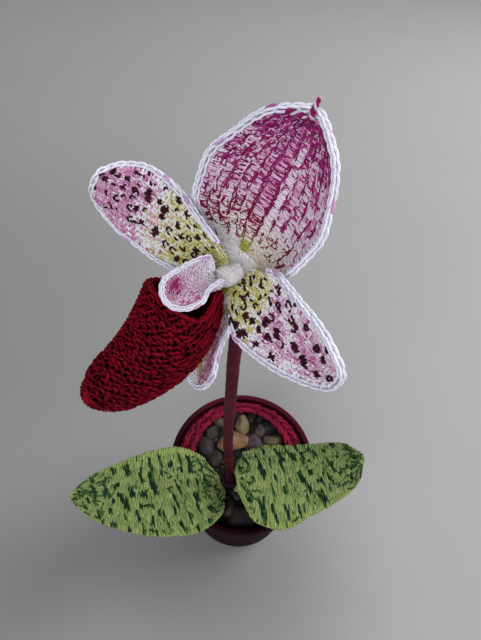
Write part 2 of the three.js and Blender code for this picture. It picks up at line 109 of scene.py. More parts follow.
def through(stops, values, x):
    # monotone cubic through (stops, values): each inner slope is the harmonic mean of its neighbours
    stops, values = np.asarray(stops, float), np.asarray(values, float)
    slope = np.diff(values) / np.diff(stops)
    product = slope[:-1] * slope[1:]
    total = np.where(product > 0, slope[:-1] + slope[1:], 1)
    inner = np.where(product > 0, 2 * product / total, 0)
    m = np.concatenate([slope[:1], inner, slope[-1:]])
    k = np.clip(np.searchsorted(stops, x, side="right") - 1, 0, len(stops) - 2)
    h = stops[k + 1] - stops[k]
    u = (x - stops[k]) / h
    return ((2 * u**3 - 3 * u**2 + 1) * values[k] + (u**3 - 2 * u**2 + u) * h * m[k]
            + (3 * u**2 - 2 * u**3) * values[k + 1] + (u**3 - u**2) * h * m[k + 1])


def lengthAlong(line, power=1):
    # distance run at each point of a line; the power 0.5 gives a curve's centripetal knots
    return np.concatenate([[0], np.cumsum(np.linalg.norm(np.diff(line, axis=0), axis=1) ** power)])


def spread(x, run, v):
    # vectors v, known at `run`, read off at x
    return np.stack([np.interp(x, run, column) for column in v.T], -1)


def sidesOf(line, hint):
    # the two directions square to a line, the first also square to the hint
    along = unit(np.gradient(line, axis=0))
    side = unit(np.cross(along, hint))
    return side, np.cross(side, along)


def curveThrough(points, count):
    # centripetal Catmull-Rom curve through the points, sampled evenly in its parameter
    p = np.asarray(points, float)
    p = np.vstack([2 * p[0] - p[1], p, 2 * p[-1] - p[-2]])
    knot = lengthAlong(p, 0.5)
    f = np.linspace(0, len(points) - 1 - 1e-9, count)
    k = f.astype(int)
    t0, t1, t2, t3 = knot[k], knot[k + 1], knot[k + 2], knot[k + 3]
    t = t1 + (f - k) * (t2 - t1)

    def between(a, b, ta, tb):
        return a + (b - a) * ((t - ta) / (tb - ta))[:, None]
    a1, a2, a3 = (between(p[k + i], p[k + i + 1], knot[k + i], knot[k + i + 1]) for i in range(3))
    return between(between(a1, a2, t0, t2), between(a2, a3, t1, t3), t1, t2)


# meshes

def facesOfGrid(rows, columns, closed):
    # quads of a grid of rows x columns vertices; closed joins the last column to the first
    i, j = np.meshgrid(np.arange(rows - 1), np.arange(columns if closed else columns - 1), indexing="ij")
    a, b = i * columns + j, i * columns + (j + 1) % columns
    return np.stack([a, b, b + columns, a + columns], -1).reshape(-1, 4)


def outward(verts, faces):
    # faces turned outward by the sign of the volume that they enclose
    volume = 0
    for f in faces:
        for k in range(1, f.shape[1] - 1):
            volume += np.einsum("ij,ij->", verts[f[:, 0]], np.cross(verts[f[:, k]], verts[f[:, k + 1]]))
    return faces if volume > 0 else [f[:, ::-1] for f in faces]


def part(verts, faces, colour, ply=None):
    # one closed form of a piece: points in mm, face lists, a colour per point and the lay of its yarn
    verts = verts.reshape(-1, 3)
    colour = np.broadcast_to(colour, verts.shape)
    ply = np.zeros_like(verts) if ply is None else ply.reshape(-1, 3)
    return {"verts": verts, "faces": outward(verts - verts.mean(0), faces), "colour": colour, "ply": ply}


def strands(paths, ups, radius, colour, sides=5):
    # round yarn along a path or each of several: rings of `sides` points in the plane of (path x up) and up,
    # closed by end caps. ply holds the cosine and sine of the way round and the length along, in mm
    paths = paths if paths.ndim > 2 else paths[None]
    n, k, _ = paths.shape
    along = unit(np.gradient(paths, axis=1))
    side = unit(np.cross(along, ups))
    up = np.cross(side, along)
    a = circle(sides)
    radius = np.broadcast_to(radius, (n, k))
    ring = np.cos(a)[:, None] * side[:, :, None] + np.sin(a)[:, None] * up[:, :, None]
    verts = paths[:, :, None] + radius[..., None, None] * ring
    step = np.linalg.norm(np.diff(paths, axis=1), axis=-1)
    run = np.concatenate([np.zeros((n, 1)), np.cumsum(step, axis=1)], axis=1)
    ply = np.empty(verts.shape)
    ply[..., 0], ply[..., 1], ply[..., 2] = np.cos(a), np.sin(a), run[..., None]
    each = (np.arange(n) * k * sides)[:, None, None]
    quads = (facesOfGrid(k, sides, True)[None, :, ::-1] + each).reshape(-1, 4)
    first = (np.arange(sides)[None] + each[:, 0]).reshape(-1, sides)
    last = first[:, ::-1] + (k - 1) * sides
    colour = np.asarray(colour, float)
    if colour.ndim == 2:
        colour = colour[:, None]
    colour = np.broadcast_to(colour[..., None, :] if colour.ndim == 3 else colour, verts.shape)
    return part(verts, [quads, first, last], colour.reshape(-1, 3), ply)


def gridPart(points, colour, closed=False):
    # rings of points joined in rows; closed joins the last ring to the first, otherwise both ends are capped
    n, k, _ = points.shape
    j, last = np.arange(k), (n - 1) * k
    if closed:
        ends = [np.stack([last + j, last + (j + 1) % k, (j + 1) % k, j], -1)]
    else:
        ends = [j[::-1][None], last + j[None]]
    return part(points, [facesOfGrid(n, k, True)] + ends, colour)


def makePiece(name, parts, material, node=None):
    # one object of all its parts, in metres, riding the one body
    offsets = np.concatenate([[0], np.cumsum([len(p["verts"]) for p in parts])])
    faces = [f + off for p, off in zip(parts, offsets) for f in p["faces"]]
    verts, colour, ply = (np.concatenate([p[key] for p in parts]) for key in ("verts", "colour", "ply"))
    totals = np.concatenate([np.full(len(f), f.shape[1]) for f in faces])
    mesh = bpy.data.meshes.new(name)
    mesh.vertices.add(len(verts))
    mesh.loops.add(int(totals.sum()))
    mesh.polygons.add(len(totals))
    mesh.vertices.foreach_set("co", (verts * mm).ravel())
    mesh.loops.foreach_set("vertex_index", np.concatenate([f.ravel() for f in faces]))
    mesh.polygons.foreach_set("loop_start", np.concatenate([[0], np.cumsum(totals)[:-1]]))
    mesh.polygons.foreach_set("loop_total", totals)
    mesh.polygons.foreach_set("use_smooth", np.full(len(totals), True))
    mesh.update(calc_edges=True)
    tint = mesh.color_attributes.new("tint", "FLOAT_COLOR", "POINT")
    tint.data.foreach_set("color", np.hstack([colour, np.ones((len(colour), 1))]).ravel())
    mesh.attributes.new("ply", "FLOAT_VECTOR", "POINT").data.foreach_set("vector", ply.ravel())
    mesh.materials.append(material)
    piece = bpy.data.objects.new(name, mesh)
    bpy.context.scene.collection.objects.link(piece)
    if node:
        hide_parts(node)
    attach(piece, "root")
    print(name, (totals - 2).sum(), "triangles")


# materials

def addNode(tree, kind, inputs=None, **settings):
    # one node with its settings; an input takes a value, a socket or another node's first output
    node = tree.nodes.new("ShaderNode" + kind)
    for key, value in settings.items():
        setattr(node, key, value)
    for key, value in (inputs or {}).items():
        if isinstance(value, bpy.types.Node):
            value = value.outputs[0]
        if isinstance(value, bpy.types.NodeSocket):
            tree.links.new(value, node.inputs[key])
        else:
            node.inputs[key].default_value = value
    return node


def newMaterial(name):
    # an empty material, its nodes and the socket that gives the place in metres
    material = bpy.data.materials.new(name)
    material.use_nodes = True
    material.node_tree.nodes.clear()
    return material, material.node_tree, addNode(material.node_tree, "TexCoord").outputs["Object"]


def finished(material, inputs):
    # the material with its shader and output
    shader = addNode(material.node_tree, "BsdfPrincipled", inputs)
    addNode(material.node_tree, "OutputMaterial", {"Surface": shader})
    return material


def solid(colour, level=1):
    # colour with its alpha, for a socket
    return *(colour * level), 1


cotton = {
    "plies": 3.0, "fibre": 0.45, "fuzz": 0.9,  # fibre: size of its tangle in mm
    "relief": 0.12, "strength": 0.5, "heights": (-0.6, 1.5), "shades": (0.82, 1.1),
    "smoother": 0.08, "rougher": 0.15, "sheenRoughness": 0.5,
}


def yarnMaterial(name, pitch, gloss=0.7, sheen=0.03, shine=0.12):
    # Mercerised cotton crochet thread, spun and plied: soft sheen, a fine slanting twist and a little fuzz.
    # The twist is cos(plies x angle round - 2 pi x length / pitch).
    material, tree, place = newMaterial(name)
    tint = addNode(tree, "Attribute", attribute_name="tint")
    ply = addNode(tree, "Attribute", attribute_name="ply")
    xyz = addNode(tree, "SeparateXYZ", {0: ply.outputs["Vector"]}).outputs
    around = addNode(tree, "Math", {0: xyz[1], 1: xyz[0]}, operation="ARCTAN2")
    turns = addNode(tree, "Math", {0: around, 1: cotton["plies"]}, operation="MULTIPLY")
    phase = addNode(tree, "Math", {0: xyz[2], 1: -2 * math.pi / pitch, 2: turns}, operation="MULTIPLY_ADD")
    twist = addNode(tree, "Math", {0: phase}, operation="COSINE")
    fibres = addNode(tree, "TexNoise", {"Vector": place, "Scale": 1 / (cotton["fibre"] * mm), "Detail": 3.0})
    height = addNode(tree, "Math", {0: fibres, 1: cotton["fuzz"], 2: twist}, operation="MULTIPLY_ADD")
    bump = addNode(tree, "Bump", {"Strength": cotton["strength"], "Distance": cotton["relief"] * mm,
                                  "Height": height})
    # the tint is painted darker on the low parts of the twist and fuzz and lighter on the high parts:
    # painted shade and painted highlight in the yarn's relief
    (low, high), (dark, pale) = cotton["heights"], cotton["shades"]
    shade = addNode(tree, "MapRange", {"Value": height, "From Min": low, "From Max": high,
                                       "To Min": dark, "To Max": pale})
    colour = addNode(tree, "VectorMath", {0: tint, "Scale": shade}, operation="SCALE")
    rough = addNode(tree, "MapRange", {"Value": fibres, "To Min": gloss - cotton["smoother"],
                                       "To Max": gloss + cotton["rougher"]})
    return finished(material, {
        "Base Color": colour, "Roughness": rough, "Normal": bump, "Sheen Weight": sheen,
        "Sheen Roughness": cotton["sheenRoughness"], "Specular IOR Level": shine})


def grainyMaterial(name, look):
    # tinted surface with a grain: noise of the grain's size in mm drives its relief and its shade
    material, tree, place = newMaterial(name)
    tint = addNode(tree, "Attribute", attribute_name="tint")
    sized = addNode(tree, "Mapping", {"Vector": place, "Scale": tuple(1 / (v * mm) for v in look["grain"])})
    grain = addNode(tree, "TexNoise", {"Vector": sized, "Scale": 1.0, "Detail": look["detail"],
                                       "Roughness": look["uneven"]})
    bump = addNode(tree, "Bump", {"Strength": look["strength"], "Distance": look["relief"] * mm,
                                  "Height": grain})
    shade = addNode(tree, "MapRange", {"Value": grain, "From Min": 0.3, "From Max": 0.7,
                                       "To Min": 1 - look["shade"], "To Max": 1 + look["shade"]})
    colour = addNode(tree, "VectorMath", {0: tint, "Scale": shade}, operation="SCALE")
    return finished(material, {"Base Color": colour, "Roughness": look["roughness"], "Normal": bump,
                               "Specular IOR Level": look["shine"]})


# camera, light and floor

view = {
    "place": (-7.5, -150.3, 511.46),  # mm
    "down": 53.685,                   # degrees below the horizon
    "roll": 3.12,
    "focal": 491.539,                 # in pixels of a frame 640 high
    "frameHeight": 640,
}
studio = {
    "air": "#e9eef6", "airStrength": 0.37,
    "aim": (0, 0, 0.25),  # what both lights point at
    "key": {"at": (1.1, 0.45, 1.08), "size": 1.0, "power": 23, "colour": "#ffffff"},
    "fill": {"at": (-0.3, -1.35, 1.35), "size": 1.6, "power": 25, "colour": "#f6f6fc"},
    "floor": "#999896", "floorSize": 6.0, "mottle": 0.03, "mottleScale": 9.0,
    # the floor's level, painted light and shade: painted light far off, painted shade to the near left, and
    # a soft painted shadow round the pot
    "far": (0.3, 1.1), "farPaintedLight": 1.26, "left": (-0.25, 0.12), "leftPaintedShade": -0.25, "near": (0.1, 0.7),
    "paintedShadowAt": (0.01, -0.075, 0), "paintedShadowSize": 0.16, "paintedShadowLevel": 0.64,
}


def stand(data, right, up, back, at):
    # object of this data with its axes along right, up and back, at a place in metres
    item = bpy.data.objects.new(data.name, data)
    matrix = np.eye(4)
    matrix[:3] = np.stack([right, up, back, at], 1)
    item.matrix_world = Matrix(matrix.tolist())
    bpy.context.scene.collection.objects.link(item)
    return item


def makeCamera():
    # looks along +y, tilted down and then rolled
    data = bpy.data.cameras.new("camera")
    data.sensor_fit = "VERTICAL"
    data.sensor_height = 24
    data.lens = view["focal"] * data.sensor_height / view["frameHeight"]
    data.clip_start = 0.01
    down, roll = math.radians(view["down"]), math.radians(view["roll"])
    ahead = np.array([0, math.cos(down), -math.sin(down)])
    level, lift = np.array([1.0, 0, 0]), np.array([0, math.sin(down), math.cos(down)])
    right = math.cos(roll) * level + math.sin(roll) * lift
    up = -math.sin(roll) * level + math.cos(roll) * lift
    bpy.context.scene.camera = stand(data, right, up, -ahead, np.array(view["place"]) * mm)


def makeLight(name):
    # round area light that faces the aim
    spec = studio[name]
    data = bpy.data.lights.new(name, "AREA")
    data.shape = "DISK"
    data.size = spec["size"]
    data.energy = spec["power"]
    data.color = hexColour(spec["colour"])
    back = unit(np.array(spec["at"]) - studio["aim"])
    side = unit(np.cross([0, 0, 1.0], back))
    stand(data, side, np.cross(back, side), back, spec["at"])


def makeStudio():
    scene = bpy.context.scene
    scene.view_settings.view_transform = "Standard"
    world = bpy.data.worlds.new("air")
    scene.world = world
    world.use_nodes = True
    ground = world.node_tree.nodes["Background"]
    ground.inputs["Color"].default_value = solid(hexColour(studio["air"]))
    ground.inputs["Strength"].default_value = studio["airStrength"]
    makeLight("key")
    makeLight("fill")
    # plain painted board, matt with a faint mottle
    material, tree, place = newMaterial("matt floor board")
    mottle = addNode(tree, "TexNoise", {"Vector": place, "Scale": studio["mottleScale"], "Detail": 4.0})
    base = hexColour(studio["floor"])
    colour = addNode(tree, "Mix", {0: mottle, 6: solid(base, 1 - studio["mottle"]),
                                   7: solid(base, 1 + studio["mottle"])}, data_type="RGBA").outputs[2]
    # the floor colour is scaled by painted light and shade: lighter far off, darker to the near left, and
    # darker in a painted soft shadow round the pot
    xyz = addNode(tree, "SeparateXYZ", {0: place}).outputs
    away = addNode(tree, "VectorMath", {0: place, 1: studio["paintedShadowAt"]}, operation="DISTANCE")

    def slope(value, low, high, at0, at1):
        return addNode(tree, "MapRange", {"Value": value, "From Min": low, "From Max": high,
                                          "To Min": at0, "To Max": at1}, interpolation_type="SMOOTHSTEP")
    far = slope(xyz[1], *studio["far"], 1.0, studio["farPaintedLight"])
    left = slope(xyz[0], *studio["left"], studio["leftPaintedShade"], 0)
    near = slope(xyz[1], *studio["near"], 1, 0)
    shade = slope(away.outputs["Value"], 0, studio["paintedShadowSize"], studio["paintedShadowLevel"], 1.0)
    level = addNode(tree, "Math", {0: left, 1: near, 2: far}, operation="MULTIPLY_ADD")
    level = addNode(tree, "Math", {0: level, 1: shade}, operation="MULTIPLY")
    graded = addNode(tree, "VectorMath", {0: colour, "Scale": level}, operation="SCALE")
    finished(material, {"Base Color": graded, "Roughness": 0.7, "Specular IOR Level": 0.2})
    half = studio["floorSize"] / 2
    mesh = bpy.data.meshes.new("floor")
    corners = [(-half, -half, 0), (half, -half, 0), (half, half, 0), (-half, half, 0)]
    mesh.from_pydata(corners, [], [(0, 1, 2, 3)])
    mesh.materials.append(material)
    floor = bpy.data.objects.new("floor", mesh)
    bpy.context.scene.collection.objects.link(floor)


makeCamera()
makeStudio()
print("camera, lights and floor are up")

# blades: sepals, petals and leaves

stops = [0, 0.12, 0.3, 0.5, 0.7, 0.88, 1]  # where along a blade its half widths are given
ribSteps = 24  # steps in which its midrib is worked out
looks = (228.4, 18)  # azimuth and elevation that the flower looks to
looksWay = heading(*looks)
# In mm and degrees. The midrib starts at the foot towards azimuth and rise, with its face towards faces and
# rolled; curl bends it to its face in all, late bends the tip more, sway bends it sideways, twist turns it.
# Cup is half the arc across at the foot and at the tip, room is what the edging takes.
blades = {
    "dorsal": {
        "foot": (-7.5, -12, 362.9), "azimuth": 33.8, "rise": 63.7, "roll": 5.4, "faces": looks,
        "length": 68.8, "curl": 27.5, "late": 30, "sway": -3.8, "twist": 0, "cup": (86, 37),
        "half": (11.3, 22.3, 32, 32.6, 26, 17.2, 2.4), "room": 2.6, "edgedFrom": 0.2,
    },
    "petalLeft": {
        "foot": (-13.5, -21.6, 369.6), "azimuth": 159, "rise": 15.5, "roll": -10, "faces": looks,
        "length": 63, "curl": 12, "late": 54, "sway": -2, "twist": 35, "cup": (46, -60),
        "half": (9, 13.8, 15.5, 17.1, 17, 13, 4.3), "room": 2.5, "edgedFrom": 0.14,
    },
    "petalRight": {
        "foot": (-7.5, -27, 368.9), "azimuth": -70.5, "rise": 9, "roll": -34, "faces": looks,
        "length": 60, "curl": 0, "late": 45, "sway": 31, "twist": 53, "cup": (30, 6),
        "half": (6.6, 12, 16.2, 15.6, 14.2, 11, 2.5), "room": 2.6, "edgedFrom": 0.16,
    },
    "synsepal": {
        "foot": (-11.5, -21.5, 352), "azimuth": -151.3, "rise": -64.7, "roll": 13, "faces": (229, 0),
        "length": 52.4, "curl": 2, "late": -2, "sway": 14, "twist": 5, "cup": (34, 21),
        "half": (6.4, 9.2, 9, 10, 13, 10, 3), "room": 2.2, "edgedFrom": 0.2,
    },
    "staminode": {
        "foot": (-18.5, -29.5, 371.5), "azimuth": -148.4, "rise": 24.6, "roll": 24.6, "faces": (256, 51.6),
        "length": 22.2, "curl": -17, "late": 5, "sway": 52, "twist": 22, "cup": (132, 30),
        "half": (2.1, 12, 10.4, 9.7, 10.3, 7.7, 2.7), "room": 1.7, "edgedFrom": 0.03,
    },
    "leafLeft": {
        "foot": (-16, -18.4, 103), "azimuth": -154, "rise": 28.6, "roll": 5, "faces": (0, 90),
        "length": 122, "curl": -11, "late": -8.6, "sway": -16.6, "twist": -19.5, "cup": (23, -10),
        "half": (5.8, 28, 35.5, 32.4, 24.5, 14.6, 1), "room": 0, "edgedFrom": 1,
    },
    "leafRight": {
        "foot": (-4, -24.2, 131.6), "azimuth": 5.7, "rise": -18.6, "roll": -17, "faces": (0, 90),
        "length": 104.5, "curl": 44, "late": -2, "sway": 1, "twist": 3, "cup": (-31, -12),
        "half": (9, 33, 39.2, 33, 27.3, 19.6, 2.3), "room": 0, "edgedFrom": 1,
    },
}


def halfWidth(b, t):
    # mm from the midrib to the outline at t
    return through(stops, b["half"], np.clip(t, 0, 1))


def midrib(b):
    # equal steps; before each, the way ahead and the face turn by their shares of curl, sway and twist
    along, face = heading(b["azimuth"], b["rise"]), heading(*b["faces"])
    face = turnAbout(unit(face - along * (face @ along)), along, math.radians(b["roll"]))
    at = np.array(b["foot"], float)
    rib = [(at, along, face)]
    for i in range(ribSteps):
        t = (i + 0.5) / ribSteps
        side = unit(np.cross(along, face))
        bend = math.radians(b["curl"] + b["late"] * (2 * t - 1)) / ribSteps
        along, face = turnAbout(along, side, bend), turnAbout(face, side, bend)
        along = turnAbout(along, face, math.radians(b["sway"]) / ribSteps)
        face = turnAbout(face, along, math.radians(b["twist"]) / ribSteps)
        face = unit(face - along * (face @ along))
        at = at + along * b["length"] / ribSteps
        rib.append((at, along, face))
    return [np.array(column) for column in zip(*rib)]


def bladeSurface(b):
    # place(s, t, h): s from -1 to 1 across, t from 0 to 1 along, h mm out of the middle surface. Across,
    # the blade is an arc: half sin(cup s)/cup sideways and half (1 - cos(cup s))/cup towards its face
    rib = midrib(b)

    def place(s, t, h):
        s, t, h = np.broadcast_arrays(np.asarray(s, float), t, h)
        f = np.clip(t, 0, 1) * ribSteps
        k = np.minimum(f.astype(int), ribSteps - 1)
        w = (f - k)[..., None]
        middle, along, face = (v[k] * (1 - w) + v[k + 1] * w for v in rib)
        face = unit(face)
        side = unit(np.cross(unit(along), face))
        cup = np.radians(b["cup"][0] + (b["cup"][1] - b["cup"][0]) * t)
        cup = np.where(np.abs(cup) < 1e-3, 1e-3, cup)
        q, half = cup * s, halfWidth(b, t)
        normal = face * np.cos(q)[..., None] - side * np.sin(q)[..., None]
        point = (middle + side * (half * np.sin(q) / cup)[..., None]
                 + face * (half * (1 - np.cos(q)) / cup)[..., None] + normal * h[..., None])
        return point, normal
    return place


def onCloth(b, s, t):
    # a place on the cloth as a place on the whole blade: the edging takes "room" mm along both sides and at
    # the tip, less and less below where it starts
    room = b["room"] * np.minimum(1, t / b["edgedFrom"])
    far = t * (1 - room / b["length"])
    return s * (1 - room / halfWidth(b, far)), far


def sheetPart(place, b, thick, colourAt, start=0.0, columns=40, rows=60):
    # backing cloth: a flattened tube along the blade, s = -cos round it, its height thick sqrt(1 - s^8)
    j = (np.arange(columns) + 0.5) / columns
    across = np.concatenate([-np.cos(np.pi * j), np.cos(np.pi * j)])
    high = thick * np.sqrt(1 - across ** 8) * np.repeat([1, -1], columns)
    s, t = onCloth(b, *np.meshgrid(across, start + (1 - start) * np.linspace(0, 1, rows)))
    verts, _ = place(s, t, high)
    k = np.arange(columns - 1)
    end = np.stack([k, k + 1, 2 * columns - 2 - k, 2 * columns - 1 - k], -1)
    far = end[:, ::-1] + (rows - 1) * 2 * columns
    faces = [facesOfGrid(rows, 2 * columns, True)[:, ::-1], end, far]
    return part(verts, faces, colourAt(s.ravel(), t.ravel()))


def postPaths(b, look, dice, points):
    # posts of each row: at each stitch two legs side by side across the row, bulging out of the cloth
    w = np.linspace(-look["past"], 1 + look["past"], points)
    edges, pitch = look["edges"], look["pitch"] / b["length"]
    for i in range(len(edges) - 1):
        count = int(0.98 / pitch) + 1
        middle = np.minimum(0.02 + (np.arange(count) + 0.5 * (i % 2)) * pitch, 0.992)
        row = halfWidth(b, middle) * (edges[i + 1] - edges[i])
        keep = row > (0.9 if i % 2 else 0.5)
        middle, row = middle[keep, None], row[keep]
        for leg in (-1, 1):
            s = edges[i] + (edges[i + 1] - edges[i]) * w + dice.normal(0, look["ragged"], middle.shape)
            stray = dice.normal(0, look["stray"], middle.shape)
            t = middle + (leg * (0.3 - look["lean"] * w) + stray) * pitch
            yield np.clip(s, -1, 1), t, look["lift"] + 0.4 * np.sin(np.pi * np.clip(w, 0, 1)), row


def chainPaths(b, look, dice, points):
    # chain along the border of each row: at each link two strands start apart and meet a link further on
    w = np.linspace(0, 1, points)
    pitch = look["chain"] / b["length"]
    for i, edge in enumerate(look["edges"][1:-1]):
        middle = 0.02 + (np.arange(int(0.93 / pitch)) + 0.37 * (i % 3)) * pitch
        half = halfWidth(b, middle)
        row = 2 * half / len(look["edges"])
        keep = (row > (1.7 if i % 2 else 1.1)) & (middle < 0.95)
        middle, half, row = middle[keep, None], half[keep, None], row[keep]
        for leg in (-1, 1):
            bow = leg * look["spread"] * (1 - w) ** 0.6 * (0.25 + np.minimum(1, 4 * w)) / 1.25
            s = edge + (bow + dice.normal(0, 0.18, middle.shape)) / half
            t = middle + pitch * (1.2 * w + dice.normal(0, 0.08, middle.shape))
            h = look["lift"] + 0.25 + 0.35 * np.sin(np.pi * (0.15 + 0.6 * w))
            yield s, np.minimum(t, 0.995), h, row


def dashPaths(b, look, dice, points):
    # coloured strokes across a row, between or over its posts, slanting this way and that
    w = np.linspace(0, 1, points)
    edges, pitch = look["edges"], look["dash"] / b["length"]
    for i in range(len(edges) - 1):
        middle = 0.03 + (np.arange(int(0.93 / pitch)) + dice.random()) * pitch
        middle = middle + dice.normal(0, look["scatter"], len(middle)) * pitch
        twin = middle[dice.random(len(middle)) < look["twins"]] + look["apart"] / b["length"]
        middle = np.concatenate([middle, twin])
        row = halfWidth(b, middle) * (edges[i + 1] - edges[i])
        keep = (row > 1.0) & (middle > 0.01) & (middle < 0.97)
        middle, row = middle[keep, None], row[keep]
        low = dice.uniform(0.0, 0.35, middle.shape) - look["reach"]
        high = dice.uniform(0.65, 1.0, middle.shape) + look["reach"]
        s = edges[i] + (edges[i + 1] - edges[i]) * (low + (high - low) * w)
        slant = dice.normal(0, look["slant"], middle.shape) * pitch
        bend = dice.normal(0, look["bend"], middle.shape) * pitch
        t = middle + slant * (w - 0.5) + bend * np.sin(np.pi * w)
        h = look["lift"] + look["over"] - 0.35 * np.abs(2 * w - 1) ** 3
        yield np.clip(s, -0.985, 0.985), t, h, row


def veinPaths(b, look, dice, points):
    # short crooked strokes all over the cloth, each with an elbow in its middle: x = u cos - |u| bend sin
    count = look["veins"]
    s, t = dice.uniform(-0.97, 0.97, (count, 1)), dice.uniform(0.04, 0.97, (count, 1))
    half = halfWidth(b, t)
    turn = dice.uniform(*look["veinTurn"], (count, 1))
    bend = look["elbow"] * dice.uniform(-0.7, 0.7, (count, 1))
    u = np.linspace(-0.5, 0.5, points) * dice.uniform(*look["veinLength"], (count, 1))
    x = u * np.cos(turn) - np.abs(u) * bend * np.sin(turn)
    y = u * np.sin(turn) + np.abs(u) * bend * np.cos(turn)
    h = look["lift"] + look["over"] - 0.3 * np.abs(np.linspace(-1, 1, points)) ** 3
    yield (np.clip(s + x / half, -0.985, 0.985), np.clip(t + y / b["length"], 0.01, 0.985), h,
           0.16 * half[:, 0])


def stitchParts(place, b, look, colourAt, front, seed):
    # all the stitches of one face; colourAt gives each strand's colour and which of them are there
    dice = np.random.default_rng(seed)
    face = 1 if front else -1
    sides, points = look["grain"] if front else (4, look["grain"][1] - 1)
    out = []
    for kind, make in (("post", postPaths), ("chain", chainPaths), ("dash", dashPaths), ("vein", veinPaths)):
        if kind not in look["yarn"]:
            continue
        rows = [np.broadcast_arrays(s, t, face * h, row[:, None])
                for s, t, h, row in make(b, look, dice, points)]
        s, t, h, wide = (np.concatenate(column) for column in zip(*rows))
        s, t = onCloth(b, s, t)
        colour, there = colourAt(s[:, points // 2], t[:, points // 2], kind, dice)
        # thinner where its row is narrow, and towards both its ends
        thin = look["yarn"][kind] * np.clip(0.35 + 0.65 * wide / look["rowWidth"], 0.65, 1)
        thin = thin * (0.75 + 0.25 * np.sin(np.pi * np.linspace(0, 1, points)))
        point, normal = place(s[there], t[there], h[there])
        out.append(strands(point, normal * face, thin[there], colour[there], sides))
    return out


def edgePath(place, b, start, inset, count=170):
    # line inside a blade's outline, up one side, round the tip and down the other, evenly spaced
    t = np.linspace(start, 1 - inset / b["length"], 70)
    shrink = 1 - inset / halfWidth(b, t)
    a = np.linspace(-1, 1, 9)[1:-1]
    far = t[-1] + 0.35 * inset / b["length"] * (1 - a * a)
    left, tip, right = place(-shrink, t, 0), place(a * shrink[-1], far, 0), place(shrink, t, 0)
    line, ups = (np.concatenate([left[k], tip[k], right[k][::-1]]) for k in (0, 1))
    run = lengthAlong(line)
    even = np.linspace(0, run[-1], count)
    line, ups = spread(even, run, line), spread(even, run, ups)
    for _ in range(3):
        for v in (line, ups):
            v[1:-1] = 0.25 * v[:-2] + 0.5 * v[1:-1] + 0.25 * v[2:]
    ups = unit(ups)
    return line, unit(np.cross(ups, unit(np.gradient(line, axis=0)))), ups, even


def edgingParts(line, outs, ups, run, spec, colourAt, seed):
    # chain-stitch border: a thin core, a little darker as painted shade between the links, and on both faces
    # links of two bowed strands that dive under the next
    dice = np.random.default_rng(seed)
    pitch, yarn = spec["pitch"], spec["yarn"]
    out = [strands(line, ups, yarn, colourAt(run / run[-1], dice)[None] * 0.85, 8)]
    w = np.linspace(0, 1, 7)
    for face in (1, -1):
        begin = np.arange(pitch * (0.2 if face > 0 else 0.6), run[-1] - 1.15 * pitch, pitch)
        begin = begin + dice.normal(0, 0.06 * pitch, len(begin))
        for leg in (-1, 1):
            y = begin[:, None] + 1.2 * pitch * w
            swell = dice.uniform(0.85, 1.15, (len(begin), 1))
            bow = leg * spec["wide"] * swell * np.sin(np.pi * np.clip(0.1 + 0.82 * w, 0, 1)) ** 0.7
            lift = face * (yarn * 0.5 + spec["lift"] * np.sin(np.pi * (0.05 + 0.72 * w)))
            up = spread(y, run, ups)
            path = spread(y, run, line) + spread(y, run, outs) * bow[..., None] + up * lift[:, None]
            out.append(strands(path, up * face, yarn, colourAt(begin / run[-1], dice), 6))
    return out


# the yarn colours of each blade

allOfThem = slice(None)


def choose(base, other, share, dice):
    # other where a throw of the dice falls under the share
    return np.where((dice.random(len(base)) < share)[:, None], other, base)


def flecked(colour, dice, amount=0.07):
    # each strand a little lighter or darker
    return colour * (1 + amount * (2 * dice.random(len(colour)) - 1))[:, None]


white, cream, lilac = hexColour("#e6e3e6"), hexColour("#e0d8c8"), hexColour("#e0cfdd")

# In mm, or shares of the half width (edges, ragged) and of a stitch (lean, stray, slant, bend). Edges are
# the borders of the rows, grain the sides and points of a strand.
dorsalLook = inks({
    "edges": [-1, -0.84, -0.68, -0.53, -0.38, -0.24, -0.03, 0.13, 0.30, 0.47, 0.64, 0.82, 1],
    "pitch": 2.1, "chain": 2.6, "dash": 1.2, "rowWidth": 5.2, "lean": 0.22, "lift": 0.6, "over": 0.62,
    "grain": (5, 5), "ragged": 0.006, "past": 0.04, "stray": 0.05,
    "spread": 0.75, "scatter": 0.25, "slant": 0.7, "reach": 0.05, "twins": 0, "apart": 0, "bend": 0.12,
    "veins": 1500, "veinLength": (1.6, 4.6), "veinTurn": (0, np.pi), "elbow": 1,
    "yarn": {"post": 0.56, "chain": 0.36, "dash": 0.34, "vein": 0.34},
    "magenta": "#7f0c4c", "crimson": "#740f2b", "pink": "#c983ae", "bright": "#a92a78", "purple": "#6c1156",
    "spot": "#a9ab3c", "pale": "#f6f4f6",
})


